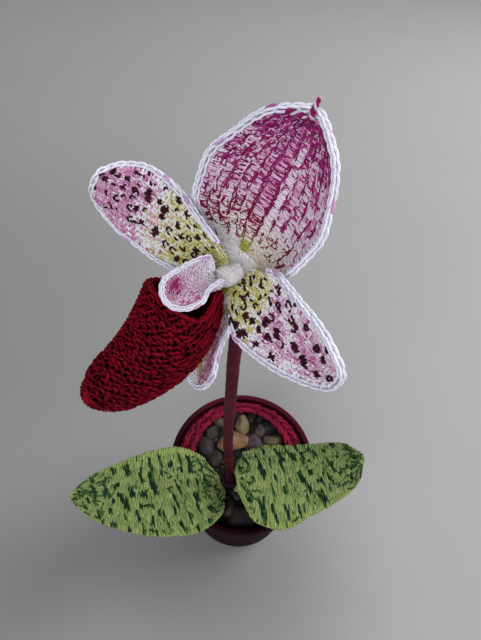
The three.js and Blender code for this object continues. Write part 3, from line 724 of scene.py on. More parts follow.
def dorsalColour(s, t, kind, dice):
    # cream foot, lilac ground and a pale line up the middle, under crimson to magenta ink
    look = dorsalLook
    x, y = s * 32, t * 69  # mm across and along
    ground = mixed(cream, lilac, ease(t, 0.12, 0.42))
    ground = mixed(ground, look["pale"], ease(t, 0.24, 0.1) * ease(s, 0.15, -0.2))
    blush, cell = patches(x, y, 9, 3), patches(x, y, 7, 5)
    ladder = hump(s, -0.15, 0.11) * ease(t, 0.09, 0.22)
    crown = ease(t, 0.66, 0.9) * ease(s, -0.95, -0.7) * (1 - 0.6 * ease(t, 0.93, 0.98))
    light = hump(s, 0.055, 0.06) * ease(t, 0.15, 0.3) * ease(t, 0.93, 0.85)
    rim = ease(np.abs(s), 0.98, 0.85)
    foot = ease(s, 0.0, 0.3) * ease(t, 0.6, 0.4)
    ink = mixed(look["crimson"], look["magenta"], np.maximum(ease(t, 0.26, 0.45), ease(s, -0.35, -0.6)))
    ink = mixed(ink, look["purple"], 0.8 * crown)
    ink = choose(ink, look["bright"], 0.35 * ease(t, 0.3, 0.5), dice)
    colour, there = ink, allOfThem
    if kind == "post":
        soft = (0.2 + 0.75 * blush) * ease(t, 0.16, 0.5) + 0.35 * ladder + 0.7 * crown - 0.3 * foot
        soft = np.clip(soft * (1 - light) * dice.uniform(0.3, 1.3, len(s)), 0, 1)
        colour = choose(mixed(ground, look["pink"], soft), look["bright"], 0.22 * crown + 0.05 * blush, dice)
    elif kind == "chain":
        strong = hump(s, -0.03, 0.05) + hump(s, 0.62, 0.08) + hump(s, -0.24, 0.05)
        share = (0.2 + 0.55 * cell + 0.5 * strong) * rim * ease(t, 0.09, 0.2)
        colour = mixed(ground, look["pink"], 0.6 * crown + 0.2 * blush * ease(t, 0.16, 0.5))
        colour = choose(colour, ink, share * (1 - 0.7 * light) * (1 - 0.3 * foot), dice)
    elif kind == "dash":
        share = 0.02 + 0.12 * cell + 0.85 * ladder + 0.3 * crown + 0.2 * hump(t, 0.2, 0.08)
        share = share + 0.5 * hump(s, 0.38, 0.1) * hump(t, 0.45, 0.16)
        there = dice.random(len(s)) < share * rim * ease(t, 0.1, 0.17) * (1 - 0.9 * light)
    else:
        share = 0.25 + 0.75 * cell ** 1.2 + 0.8 * crown + 0.3 * ease(s, -0.3, -0.7)
        share = share - 0.35 * ease(s, 0.1, 0.4) - 0.25 * foot
        share = share * (1 - 0.75 * ladder) * (1 - 0.9 * light)
        there = dice.random(len(s)) < share * ease(t, 0.12, 0.26) * ease(np.abs(s), 1.0, 0.93)
    spot = hump(s, -0.12, 0.12) * hump(t, 0.09, 0.06)
    return flecked(mixed(colour, look["spot"], np.clip(1.3 * spot, 0, 1)), dice), there


softLook = {"lean": 0.2, "past": 0.04, "stray": 0.06, "grain": (4, 4)}  # shared by the other blades
petalLook = inks({
    **softLook, "edges": np.linspace(-1, 1, 13), "pitch": 1.9, "chain": 2.4, "rowWidth": 2.8, "lift": 0.55,
    "ragged": 0.02, "spread": 0.55, "yarn": {"post": 0.54, "chain": 0.44},
    "ground": "#e0dccf", "yellow": "#d0cc8a", "deepYellow": "#b4b04a", "pink": "#be6a9f",
    "paleInk": "#d9b2cb", "magenta": "#b23480", "peach": "#d6b5ad",
})


def petalLeftColour(s, t, kind, dice):
    # yellow from the foot over white ground, pink towards the tip
    look = petalLook
    cloud = patches(s * 17, t * 63, 5, 11)
    ground = mixed(look["ground"], white, ease(t, 0.35, 0.6))
    yellow = mixed(look["yellow"], look["deepYellow"], dice.random(len(s)) ** 2)
    share = (0.95 - 0.75 * ease(t, 0.22, 0.6)) * (0.45 + 0.6 * cloud) * ease(t, 0.66, 0.5)
    colour = choose(ground, yellow, share * ease(s, -1.0, -0.55) * ease(np.abs(s), 1.0, 0.8), dice)
    colour = choose(colour, look["peach"], 0.5 * hump(t, 0.52, 0.09) * hump(s, 0.0, 0.5), dice)
    pink = mixed(look["paleInk"], look["pink"], dice.random(len(s)) * (0.4 + 0.8 * cloud))
    colour = choose(colour, pink, ease(t, 0.54, 0.74) * (0.65 + 0.45 * cloud), dice)
    edge = hump(s, -0.8, 0.09) * ease(t, 0.3, 0.4)
    return flecked(choose(colour, look["pink"], 0.3 * edge, dice), dice), allOfThem


def petalRightColour(s, t, kind, dice):
    # yellow foot, white ground and magenta streaks past the middle
    look = petalLook
    cloud, streak = patches(s * 16, t * 60, 5, 12), patches(s * 16, t * 22, 5, 13)
    ground = mixed(look["ground"], white, ease(t, 0.2, 0.4))
    yellow = mixed(look["yellow"], look["deepYellow"], dice.random(len(s)) ** 2)
    share = ease(t, 0.42, 0.12) * (0.5 + 0.5 * cloud) * ease(s, -0.95, -0.6)
    colour = choose(ground, yellow, share, dice)
    share = ease(t, 0.26, 0.45) * ease(np.abs(s + 0.05), 0.85, 0.4) * np.clip(1.6 * streak - 0.35, 0, 1)
    ink = mixed(look["paleInk"], look["magenta"], dice.random(len(s)) ** 0.75)
    colour = choose(colour, ink, share, dice)
    return flecked(choose(colour, look["paleInk"], 0.38 * ease(t, 0.3, 0.5), dice), dice), allOfThem


synsepalLook = inks({
    **softLook, "edges": np.linspace(-1, 1, 9), "pitch": 2.0, "chain": 2.6, "rowWidth": 2.8, "lift": 0.5,
    "ragged": 0.03, "spread": 0.55, "yarn": {"post": 0.54, "chain": 0.42},
    "ground": "#cbb7c0", "olive": "#a39350", "magenta": "#94205a",
})


def synsepalColour(s, t, kind, dice):
    # olive up the middle, magenta to its left
    look = synsepalLook
    middle = hump(s, -0.1, 0.16)
    ground = mixed(look["ground"], white, ease(t, 0.75, 1.0))
    colour = choose(ground, look["olive"], 0.9 * middle * ease(t, 0.95, 0.75), dice)
    share = (0.15 + 0.85 * hump(s, -0.5, 0.28)) * ease(t, 0.1, 0.4) * (1 - 0.6 * middle)
    magenta = mixed(ground, look["magenta"], dice.uniform(0.3, 1, len(s)))
    return flecked(choose(colour, magenta, share, dice), dice), allOfThem


staminodeLook = inks({
    **softLook, "edges": np.linspace(-1, 1, 10), "pitch": 1.6, "chain": 2.0, "rowWidth": 2.4, "lift": 0.45,
    "ragged": 0.03, "spread": 0.45, "yarn": {"post": 0.44, "chain": 0.36},
    "ground": "#dccbd8", "pink": "#c0679d", "blotch": "#9d2266",
})


def staminodeColour(s, t, kind, dice):
    # pale lilac with one magenta blotch near the tip
    look = staminodeLook
    ground = mixed(look["ground"], look["pink"], 0.25 * dice.random(len(s)))
    ground = mixed(ground, white, 0.8 * ease(t, 0.3, 0.12))
    lower = ease(s, 0.15, -0.3) * ease(t, 0.2, 0.5) * ease(s, -0.95, -0.7)
    colour = choose(ground, look["pink"], 0.4 * lower, dice)
    blot = hump(s, 0.48, 0.36) * hump(t, 0.7, 0.17)
    blot = np.clip(1.5 * blot * dice.uniform(0.5, 1.3, len(s)) - 0.1, 0, 1)
    return flecked(mixed(colour, look["blotch"], blot), dice, 0.08), allOfThem


leafLook = inks({
    **softLook, "edges": np.linspace(-1, 1, 14), "pitch": 2.3, "dash": 9.0, "rowWidth": 5.2, "lift": 0.5,
    "ragged": 0.04, "past": 0.13, "stray": 0.1, "over": 0.5, "scatter": 0.3, "slant": 0.14,
    "reach": 0.1, "twins": 0.4, "apart": 1.4, "bend": 0.04,
    "veins": 640, "veinLength": (3.5, 8), "veinTurn": (0.8, 2.3), "elbow": 0.35,
    "yarn": {"post": 0.76, "dash": 0.9, "vein": 1.15}, "every": 4,
    "light": "#88975e", "mid": "#74844a", "dash1": "#0e2a0e", "dash2": "#08261a", "green": "#3b5c2c",
    "border": "#8a9c55",
})


def leafColour(seed, length):
    # yellow-green with dark green stitches and dashes
    look = leafLook

    def at(s, t, kind, dice):
        x, y = s * 34, t * length
        ground = mixed(look["light"], look["mid"], patches(x, y, 9, seed))
        ground = mixed(ground, look["border"], 0.7 * ease(np.abs(s), 0.88, 0.95))
        dark = mixed(look["dash1"], look["dash2"], patches(x, y, 16, seed + 1))
        if kind == "post":
            # every fourth stitch of a pair of rows may be dark, one or two stitches wide and one or two rows
            # high; the throws come from the stitch's row and count, so that both its legs agree
            row = np.floor((s + 1) * 6.5)
            pair = row // 2
            stitch = np.round((y - 0.02 * length) / look["pitch"] - 0.5 * (row % 2)) + 100
            stitch = stitch + np.floor(look["every"] * (np.sin(pair * 7.13 + seed) * 43.7 % 1))
            group, step = stitch // look["every"], stitch % look["every"]
            throws = [np.sin(pair * 12.9 + group * 78.2 + seed + 9.1 * k) * 437.5 % 1 for k in range(3)]
            high = (throws[0] < 0.35) | ((throws[0] < 0.88) & ((row % 2 == 0) == (throws[1] < 0.5)))
            wide = (step == 0) | ((step == 1) & (throws[2] < 0.3))
            picked = high & wide & (np.abs(s) < 0.93) & (t > 0.03)
            colour = choose(ground, look["mid"] * 0.9, 0.12, dice)
            dark = choose(dark, look["green"], 0.15, dice)
            return flecked(np.where(picked[:, None], dark, colour), dice, 0.06), allOfThem
        if kind == "vein":
            share = 0.02 + 0.26 * ease(t, 0.78, 0.9) + 0.26 * ease(t, 0.26, 0.08)
            dark = mixed(dark, look["green"], dice.random(len(s)))
        else:
            share = 0.35 + 0.3 * patches(x, y, 14, seed + 2)
            dark = mixed(dark, look["green"], 0.3 + 0.7 * dice.random(len(s)))
        share = share * ease(np.abs(s), 0.96, 0.88)
        return flecked(dark, dice, 0.1), dice.random(len(s)) < share
    return at


def cloth(colourAt, shade, seed):
    # colour of the backing under the stitches: theirs, softened and darkened as painted shade in the gaps
    # between them
    def at(s, t):
        dice = np.random.default_rng(seed)
        return sum(colourAt(s, t, "post", dice)[0] for _ in range(6)) / 6 * shade
    return at


# embroidered marks on the petals: strokes of dark thread, by kind, each at (s, t)

marksLeft = {
    "sizes": (0.9, 0.66),  # at the foot and at the tip
    "dot": [(-0.25, 0.96), (0.69, 0.73), (0.69, 0.64), (-0.3, 0.85), (-0.3, 0.79)],
    "dash": [(0.45, 0.96), (0.21, 0.87), (0.8, 0.71), (0.66, 0.67), (0.46, 0.73), (0.31, 0.71),
             (-0.11, 0.89), (-0.5, 0.86), (-0.35, 0.83), (-0.06, 0.37), (0.34, 0.16), (0.2, 0.12),
             (0.7, 0.28), (0.5, 0.32), (0.1, 0.16), (-0.02, 0.1), (-0.35, 0.11), (0.75, 0.2)],
    "long": [(0.69, 0.77), (-0.3, 0.64)],
    "cross": [(0.29, 0.93), (0.26, 0.81), (0.49, 0.81), (0.46, 0.56), (0.73, 0.36), (-0.21, 0.61),
              (0.1, 0.34)],
    "vee": [(0.48, 0.87), (-0.19, 0.3)],
    "hook": [(0.06, 0.78), (0.15, 0.73), (0.76, 0.56), (0.09, 0.62), (0.58, 0.43), (0.62, 0.12)],
    "arch": [(-0.07, 0.82), (-0.07, 0.72), (-0.32, 0.69), (0.03, 0.43), (-0.34, 0.42), (-0.39, 0.36),
             (-0.49, 0.25)],
    "ring": [(0.2, 0.29), (-0.16, 0.22), (-0.44, 0.17)],
    "knot": [(0.58, 0.91), (0.34, 0.74), (0.48, 0.65), (0.81, 0.45), (-0.01, 0.68), (0.2, 0.51),
             (0.29, 0.39), (-0.56, 0.31), (-0.2, 0.14), (0.45, 0.24), (0.02, 0.22)],
    "bigKnot": [(0.38, 0.64), (0.39, 0.51), (-0.22, 0.51)],
}
marksRight = {
    "sizes": (0.84, 0.84),
    "dot": [(-0.36, 0.27), (-0.84, 0.57), (-0.5, 0.06)],
    "dash": [(-0.14, 0.02), (-0.57, 0.09), (-0.69, 0.2), (-0.44, 0.21), (0.01, 0.08), (0.01, 0.14),
             (-0.56, 0.31), (0.25, 0.14), (0.04, 0.19), (-0.38, 0.44), (0.46, 0.24), (-0.19, 0.59),
             (0.38, 0.46), (0.51, 0.06), (0.29, 0.11), (0.69, 0.13), (0.61, 0.17), (0.19, 0.03)],
    "long": [(-0.35, 0.09), (-0.55, 0.18), (-0.34, 0.33)],
    "cross": [(-0.71, 0.38), (0.7, 0.39), (0.7, 0.51)],
    "vee": [(0.04, 0.24), (0.85, 0.19)],
    "hook": [(-0.78, 0.34), (-0.19, 0.23), (0.06, 0.29), (0.3, 0.54), (-0.62, 0.9), (-0.11, 0.04),
             (0.14, 0.12)],
    "arch": [(0.33, 0.18), (-0.07, 0.4), (-0.4, 0.56)],
    "ring": [(-0.42, 0.41), (-0.6, 0.71), (0.49, 0.91)],
    "bigHook": [(-0.66, 0.51)],
    "knot": [(0.4, 0.23), (0.35, 0.29), (0.38, 0.36), (-0.35, 0.61), (0.36, 0.43), (-0.06, 0.86),
             (0.75, 0.23), (0.51, 0.81)],
    "bigKnot": [(0.12, 0.37), (0.75, 0.29), (0.15, 0.48), (0.15, 0.63), (0.33, 0.71), (-0.27, 0.81)],
}
markLook = inks({"yarn": 0.43, "lift": 1.55, "dive": 0.7, "points": 6, "turn": 0.9, "shake": 0.06,
                 "dark": "#1c040a", "maroon": "#4a0c20"})
strokes = {
    # in mm round the mark's middle: straight runs (from x, y, to x, y) and arcs (radius, degrees from, to)
    "dot": [(-0.4, -0.3, 0.4, 0.3)],
    "dash": [(-0.2, -1.2, 0.3, 1.2)],
    "long": [(-0.3, -2.6, 0.2, 2.6), (0.5, 0.3, 0.8, 2.3)],
    "cross": [(-1.3, -1.5, 1.2, 1.6), (-1.3, 1.1, 1.4, -1.0), (0, 0, -0.2, 1.6)],
    "vee": [(0, -1.4, -1.3, 1.3), (0.1, -1.4, 1.2, 1.0)],
    "hook": [(1.15, -60, 150)],
    "arch": [(1.35, 0, 180), (-1.35, 0, -1.5, -1.8), (1.35, 0, 1.4, -1.2)],
    "ring": [(1.3, 10, 190), (1.3, 180, 360)],
    "bigHook": [(2.1, 80, 280), (0.4, -2.0, 1.5, -1.2), (1.2, 1.8, 1.9, 1.3)],
}
tangles = {"knot": (5, 3.1, 1.2), "bigKnot": (8, 4.3, 2.1)}  # threads, their length, half width in mm


def strokesOf(kind, dice):
    # the strokes of one mark, as points in mm; a tangle's threads lie side by side at random tilts
    w = np.linspace(0, 1, markLook["points"])[:, None]
    runs = list(strokes.get(kind, ()))
    if kind in tangles:
        count, length, wide = tangles[kind]
        for x in wide * (2 * (np.arange(count) + 0.5) / count - 1):
            tilt, drop = dice.normal(0, 0.55), dice.normal(0, 0.25)
            size = 0.5 * length * dice.uniform(0.75, 1.1) * (1 - 0.25 * (x / wide) ** 2)
            dx, dy = size * math.sin(tilt), size * math.cos(tilt)
            runs.append((x - dx, drop - dy, x + dx, drop + dy))
    for run in runs:
        if len(run) == 3:
            a = np.radians(run[1] + (run[2] - run[1]) * w)
            yield run[0] * np.hstack([np.cos(a), np.sin(a)])
        else:
            yield np.array(run[:2]) * (1 - w) + np.array(run[2:]) * w


def markParts(place, b, marks, seed):
    # each mark turned and shaken a little; its thread dives into the cloth at both ends as |w|^3
    dice = np.random.default_rng(seed)
    paths, shades = [], []
    w = np.linspace(-1, 1, markLook["points"])
    foot, tip = marks["sizes"]
    for kind, places in marks.items():
        for s0, t0 in places if kind != "sizes" else ():
            turn = dice.uniform(-markLook["turn"], markLook["turn"])
            half = float(halfWidth(b, t0))
            for stroke in list(strokesOf(kind, dice)):
                wob = (foot + (tip - foot) * t0) * stroke + dice.normal(0, markLook["shake"], stroke.shape)
                x = wob[:, 0] * math.cos(turn) - wob[:, 1] * math.sin(turn)
                y = wob[:, 0] * math.sin(turn) + wob[:, 1] * math.cos(turn)
                paths.append((s0 + x / half, np.clip(t0 + y / b["length"], 0.002, 0.998)))
                shades.append(dice.random())
    s, t = np.array(paths).swapaxes(0, 1)
    point, normal = place(s, t, markLook["lift"] - markLook["dive"] * np.abs(w) ** 3)
    dark = mixed(markLook["dark"], markLook["maroon"], np.array(shades) ** 1.5)
    return [strands(point, normal, markLook["yarn"], dark, 6)]


# borders, and a blade in all its parts

edgings = {  # pink and dark: shares of links of these colours
    "dorsal": {"node": "dorsal_edging", "start": 0.12, "pitch": 4.2, "wide": 0.86, "lift": 0.55,
               "yarn": 0.52, "pink": 0.03, "dark": 0.2},
    "petalLeft": {"node": "petal_left_edging", "start": 0.1, "pitch": 4.2, "wide": 0.84, "lift": 0.5,
                  "yarn": 0.5, "pink": 0.12, "dark": 0},
    "petalRight": {"node": "petal_right_edging", "start": 0.14, "pitch": 4.5, "wide": 0.86, "lift": 0.5,
                   "yarn": 0.51, "pink": 0.03, "dark": 0},
    "synsepal": {"node": "synsepal_edging", "start": 0.2, "pitch": 4.0, "wide": 0.8, "lift": 0.5,
                 "yarn": 0.5, "pink": 0.12, "dark": 0},
    "staminode": {"node": "staminode_edging", "start": 0.025, "pitch": 3.0, "wide": 0.56, "lift": 0.35,
                  "yarn": 0.4, "pink": 0.03, "dark": 0},
}
edgingInks = inks({"white": "#e4e2ee", "pink": "#cf9cc6", "dark": "#b05a96"})


def edgingColour(spec):
    # mostly white, with a share of pink links, and dark ones on the upper left
    def at(u, dice):
        colour = np.broadcast_to(edgingInks["white"], (len(u), 3))
        share = spec["pink"] + 0.3 * spec["dark"] * hump(u, 0.36, 0.13)
        colour = choose(colour, edgingInks["pink"], share, dice)
        colour = choose(colour, edgingInks["dark"], spec["dark"] * hump(u, 0.38, 0.1), dice)
        return flecked(colour, dice, 0.06)
    return at


def dressBlade(name, key, look, colourAt, seed, slot, marks=None, start=0.0, thick=0.62, extra=()):
    # a blade's backing, stitches, marks and extra strands; its back's stitches; and its border, if any
    b = blades[key]
    place = bladeSurface(b)
    # the backing is darkened as painted shade in the gaps between stitches: to 0.95 on leaves, to 0.8
    # elsewhere
    parts = [sheetPart(place, b, thick, cloth(colourAt, 0.95 if slot == "leaf_yarn" else 0.8, seed), start)]
    parts += stitchParts(place, b, look, colourAt, True, seed)
    if marks:
        parts += markParts(place, b, marks, seed + 50)
    makePiece(name + "_crochet", parts + list(extra), yarns[slot], name)
    back = stitchParts(place, b, look, colourAt, False, seed + 1)
    makePiece(name + "_back", back, yarns[slot], None)
    if key in edgings:
        spec = edgings[key]
        line = edgePath(place, b, spec["start"], spec["wide"] + 0.9 * spec["yarn"])
        makePiece(spec["node"] + "_chain", edgingParts(*line, spec, edgingColour(spec), seed + 7),
                  yarns["edging_yarn"], spec["node"])


yarns = {
    "sepal_yarn": yarnMaterial("plied cotton, lilac and magenta", 1.9),
    "petal_yarn": yarnMaterial("plied cotton, petal white and yellow", 1.9),
    "synsepal_yarn": yarnMaterial("plied cotton, synsepal olive", 1.8),
    "staminode_yarn": yarnMaterial("plied cotton, staminode lilac", 1.6),
    "edging_yarn": yarnMaterial("plied cotton, white edging", 2.0, gloss=0.55),
    "leaf_yarn": yarnMaterial("plied cotton, leaf green", 2.1),
    "pouch_yarn": yarnMaterial("plied cotton, crimson slipper", 2.4, gloss=0.65, sheen=0.0, shine=0.05),
    "cream_yarn": yarnMaterial("plied cotton, cream column", 2.0),
    "strap_yarn": yarnMaterial("plied cotton, olive strap", 1.9),
    "collar_yarn": yarnMaterial("plied cotton, raspberry collar", 2.2, gloss=0.65, sheen=0.0, shine=0.06),
    "tie_thread": yarnMaterial("wound sewing thread, near black", 1.0, gloss=0.6, sheen=0.02),
}
fanLook = inks({"along": (0.075, 0.035, 0.0), "yarn": 0.55, "points": 9, "lift": 0.75, "white": "#f8f6f8"})


def nearFlower(forward, up):
    # place in front of the flower's middle, and up from there
    return np.array([-9.5, -19, 364.5]) + looksWay * forward + np.array([0, 0, up])


def fanParts(key, heart, count, seed):
    # yarn ends gathered from the foot of a blade into one point
    dice = np.random.default_rng(seed)
    b, points = blades[key], fanLook["points"]
    s = np.linspace(-1, 1, count) + dice.normal(0, 0.01, count)
    st = onCloth(b, np.clip(s, -1, 1)[:, None], np.array(fanLook["along"]) + 0 * s[:, None])
    point, normal = bladeSurface(b)(*st, fanLook["lift"] + 0.3 * dice.normal(size=(count, 1)) ** 2)
    heart = heart + dice.normal(0, 0.5, (count, 1, 3))
    low = point[:, 2:] * 0.55 + heart * 0.45 - np.array([0, 0, 0.6])
    paths = np.stack([curveThrough(path, points) for path in np.concatenate([point, low, heart], 1)])
    colour = flecked(mixed(fanLook["white"], cream, ease(s, 0.0, 0.6)), dice, 0.05)
    return [strands(paths, np.repeat(normal[:, :1], points, 1), fanLook["yarn"], colour, 5)]


dressBlade("dorsal_sepal", "dorsal", dorsalLook, dorsalColour, 21, "sepal_yarn",
           extra=fanParts("dorsal", nearFlower(-1.5, 1), 52, 24))
dressBlade("petal_left", "petalLeft", petalLook, petalLeftColour, 31, "petal_yarn", marksLeft, start=0.02)
dressBlade("petal_right", "petalRight", petalLook, petalRightColour, 41, "petal_yarn", marksRight)
dressBlade("synsepal", "synsepal", synsepalLook, synsepalColour, 51, "synsepal_yarn",
           extra=fanParts("synsepal", np.array([-8.9, -18.2, 356.9]), 20, 25))
dressBlade("staminode", "staminode", staminodeLook, staminodeColour, 61, "staminode_yarn", thick=0.5)
print("flower's blades are crocheted")

# leaves

# in mm and turns of thread; sway is how far and how often the thread strays from even turns; the core under
# the thread is darkened as painted shade
winding = {"underYarn": 1.3, "coreShade": 0.55, "steps": 16, "sway": (0.15, 2.3), "shade": 0.06,
           "shadeEvery": 9}


def wrappedBar(points, radii, yarn, pitch, colour, seed=1, count=90):
    # bar wound round with one thread: a core tube, darkened as painted shade under the thread, and a helix
    # of thread that lies on it
    dice = np.random.default_rng(seed)
    line = curveThrough(points, count)
    run = lengthAlong(line)
    radius = through(np.linspace(0, run[-1], len(radii)), radii, run)
    side, up = sidesOf(line, [0.3, 0.2, 1.0])
    core = strands(line, up, radius - winding["underYarn"] * yarn, colour * winding["coreShade"], 14)
    u = np.linspace(0, run[-1], int(run[-1] / pitch * winding["steps"]))
    a = 2 * np.pi * u / pitch + winding["sway"][0] * np.sin(u * winding["sway"][1])
    out = spread(u, run, side) * np.cos(a)[:, None] + spread(u, run, up) * np.sin(a)[:, None]
    coil = spread(u, run, line) + out * (np.interp(u, run, radius) - yarn)[:, None]
    shade = 1 + winding["shade"] * dice.normal(size=len(u))
    each, few = np.arange(len(u)), slice(None, None, winding["shadeEvery"])
    tone = colour * np.interp(each, each[few], shade[few])[:, None]
    return [core, strands(coil, out, yarn, tone[None], 6)]


stalkPath = [(-3.6, -23, 102), (-2.6, -25, 112), (-1.2, -25.5, 122), (4, -24.3, 129.6)]
stalk = wrappedBar(stalkPath, [2] * 4, 0.5, 1.3, leafLook["mid"])
dressBlade("leaf_left", "leafLeft", leafLook, leafColour(71, 122), 71, "leaf_yarn")
dressBlade("leaf_right", "leafRight", leafLook, leafColour(81, 104), 81, "leaf_yarn", extra=stalk)
print("leaves are crocheted")

# the slipper: a sock of single crochet along a bent axis

pouch = inks({
    "mouth": (-29.7, -32.8, 368), "bend": (-32.1, -49.4, 347.5), "toe": (-64.7, -67, 344),
    "across": (15.9, 18.1, 8.3), "deep": (11.8, 18.7, 5.9), "sideways": (0.755, -0.657, -0.04),
    "dip": 0.155, "dipAt": 35, "dipBefore": 45, "dipAfter": 95, "toeStart": 0.8, "end": 0.995,
    "backing": 1.5, "lining": 1.95, "columns": 72, "rows": 27, "linedRows": 9, "stitch": 2.8, "yarn": 0.41,
    "toeTurns": 7, "toeYarn": 0.5, "rimLinks": 24, "rimYarn": 0.8,
    "crimson": "#860920", "deepRed": "#390410", "insideShadow": "#050002",
})


def pouchWall(t, a, inset):
    # quadratic Bezier axis; round it an ellipse whose half widths follow the same blend, and whose nose
    # closes as sqrt(1 - n^2.5)
    t, a, inset = np.broadcast_arrays(np.asarray(t, float), a, inset)
    mouth, bend, toe = (np.array(pouch[k], float) for k in ("mouth", "bend", "toe"))
    shares = ((1 - t) ** 2, 2 * t * (1 - t), t * t)
    at = sum(w[..., None] * p for w, p in zip(shares, (mouth, bend, toe)))
    along = unit((bend - mouth) * (1 - t)[..., None] + (toe - bend) * t[..., None])
    side = np.array(pouch["sideways"])
    side = unit(side - along * (along @ side)[..., None])
    up = np.cross(along, side)
    nose = np.maximum(0, (t - pouch["toeStart"]) / (1 - pouch["toeStart"]))
    close = np.sqrt(np.maximum(0, 1 - nose ** 2.5))
    across, deep = (sum(w * v for w, v in zip(shares, pouch[k])) * close - inset for k in ("across", "deep"))
    return at + side * (across * np.cos(a))[..., None] + up * (deep * np.sin(a))[..., None]


def pouchSkin(w, a, lift):
    # w from 0 at the rim to 1 at the toe, a round it, lift mm out of the wall along its normal; the rim dips
    # as cos^1.5 to both sides of its lowest place
    w, a, lift = np.broadcast_arrays(np.asarray(w, float), a, lift)
    off = (a - math.radians(pouch["dipAt"]) + np.pi) % (2 * np.pi) - np.pi
    share = np.minimum(1, np.abs(off) / np.radians(np.where(off < 0, pouch["dipBefore"], pouch["dipAfter"])))
    rim = pouch["dip"] * np.cos(0.5 * np.pi * share) ** 1.5
    t = np.minimum(rim + (pouch["end"] - rim) * np.sign(w) * np.abs(w) ** 0.9, pouch["end"])
    point = pouchWall(t, a, 0)
    ahead = pouchWall(np.minimum(t + 0.002, 0.997), a, 0) - pouchWall(t - 0.002, a, 0)
    normal = unit(np.cross(pouchWall(t, a + 0.02, 0) - pouchWall(t, a - 0.02, 0), ahead))
    out = point - pouchWall(t, a, 3)
    normal = normal * np.sign(np.sum(normal * out, -1, keepdims=True))
    return point + normal * lift[..., None], normal


def pouchTone(share):
    # deep red at 0, crimson at 1
    return mixed(pouch["deepRed"], pouch["crimson"], share)


def pouchRows(dice, front, rows):
    # single crochet: each stitch has two legs that spread downwards, and two strands slanting across them
    x, y = np.linspace(0, 1, 5), np.linspace(-1, 1, 5)
    # the inside rows at half the level of the outside ones: painted shade inside the sock
    sign, base, level = (1, 0.0, 1) if front else (-1, -pouch["lining"] - 0.5, 0.5)
    dw = 1 / pouch["rows"]
    for row in range(rows):
        ring, _ = pouchSkin(row * dw + dw / 2, circle(pouch["columns"]), 0)
        girth = np.linalg.norm(ring - np.roll(ring, 1, axis=0), axis=-1).sum()
        count = max(5, round(girth / pouch["stitch"]))
        step = 2 * np.pi / count
        middle = (step * (np.arange(count) + 0.5 * (row % 2) + dice.normal(0, 0.1, count)))[:, None]
        top = row * dw + dw * (0.1 + 0.2 * dice.normal(size=(count, 1)))
        slant = 0.36 * dice.normal(size=(count, 1)) + 0.2
        threads = []
        for hand in (-1, 1):
            around = middle + step * (hand * (0.34 + 0.12 * x) + 0.04 * dice.normal(size=(count, 1)))
            threads.append((around, top + dw * (0.05 + 1.02 * x), -0.25 + 0.3 * np.sin(np.pi * x), 0.8, 0.6))
        for ply in (-0.5, 0.5):
            down = top + dw * (slant * y + 0.3 * y ** 2 - 0.12 + 0.28 * ply)
            lift = -0.35 + 1.05 * np.cos(0.5 * np.pi * y) ** 0.7
            threads.append((middle + step * (0.47 * y + 0.12 * ply), down, lift, 0.9, 1))
        for around, down, lift, size, shade in threads:
            point, normal = pouchSkin(np.clip(down, -0.01, 0.972), around, base + sign * lift)
            thin = size * pouch["yarn"] * np.minimum(1, girth / count / pouch["stitch"] + 0.1)
            tone = pouchTone(dice.uniform(0.2, 1.0, count)) * level * shade
            yield strands(point, normal * sign, thin, tone, 4)


def toeCoil():
    # coil that closes the flat end, from the last rows in to the middle
    u = np.linspace(0, 1, 20 * pouch["toeTurns"])
    around = 2 * np.pi * pouch["toeTurns"] * u
    lift = 0.15 + 0.25 * np.sin(6.3 * around)
    edge, normal = pouchSkin(0.96 + 0.04 * np.minimum(1, u / 0.55), around, lift)
    last, before = (pouchWall(t, circle(pouch["columns"]), 0).mean(0) for t in (pouch["end"], 0.9))
    inward = ease(u, 0.5, 1.0)[:, None]
    path = edge * (1 - inward) + (last + unit(last - before) * 0.3) * inward
    for ply in (-0.3, 0.3):
        line = path + normal * 0.2 * np.sin(8 * around + 5 * ply)[:, None] + ply * 0.8
        tone = pouchTone(0.5 + 0.4 * np.sin(3.1 * around + 9 * ply))
        yield strands(line, normal, pouch["toeYarn"], tone[None], 6)


def rimLinks(dice):
    # links that lie along the rim, one strand outside and one inside
    x, count = np.linspace(0, 1, 5), pouch["rimLinks"]
    middle = (2 * np.pi * (np.arange(count) + dice.normal(0, 0.08, count)) / count)[:, None]
    for hand in (-1, 1):
        lift = -0.9 + hand * 0.85 * np.sin(np.pi * np.clip(0.08 + 0.84 * x, 0, 1))
        around = middle + 2 * np.pi / count * 1.3 * x
        point, normal = pouchSkin(-0.008 - 0.012 * np.sin(np.pi * x), around, lift)
        yield strands(point, normal, pouch["rimYarn"], pouchTone(dice.uniform(0.5, 1, count)), 6)


def pouchParts():
    # backing, near black as painted shade of the sock's inside; stitches outside; stitches inside as far
    # down as can be seen, at half their level as painted shade; toe and rim
    dice = np.random.default_rng(91)
    a, w = circle(pouch["columns"]), np.linspace(0, 1, 44)[:, None]
    outer, _ = pouchSkin(w[::-1], a, -pouch["backing"] * (1 - 0.5 * ease(w[::-1], 0.86, 0.97)))
    inner, _ = pouchSkin(w * 0.97, a, -pouch["lining"])
    return [gridPart(np.concatenate([outer, inner]), pouch["insideShadow"]), *pouchRows(dice, True, pouch["rows"]),
            *pouchRows(dice, False, pouch["linedRows"]), *toeCoil(), *rimLinks(dice)]


makePiece("pouch_crochet", pouchParts(), yarns["pouch_yarn"], "pouch")

# what is behind the slipper: column, core and strap

columnLook = inks({"white": "#fffdfa", "olive": "#8f8436", "seat": "#d9cfb4", "yarn": 0.34, "pitch": 0.66})
wound = columnLook["yarn"], columnLook["pitch"], columnLook["white"]
core = wrappedBar([nearFlower(-9, -2), nearFlower(-6, -2), nearFlower(-2, -2)], (2.5, 4.6, 3.2), *wound)
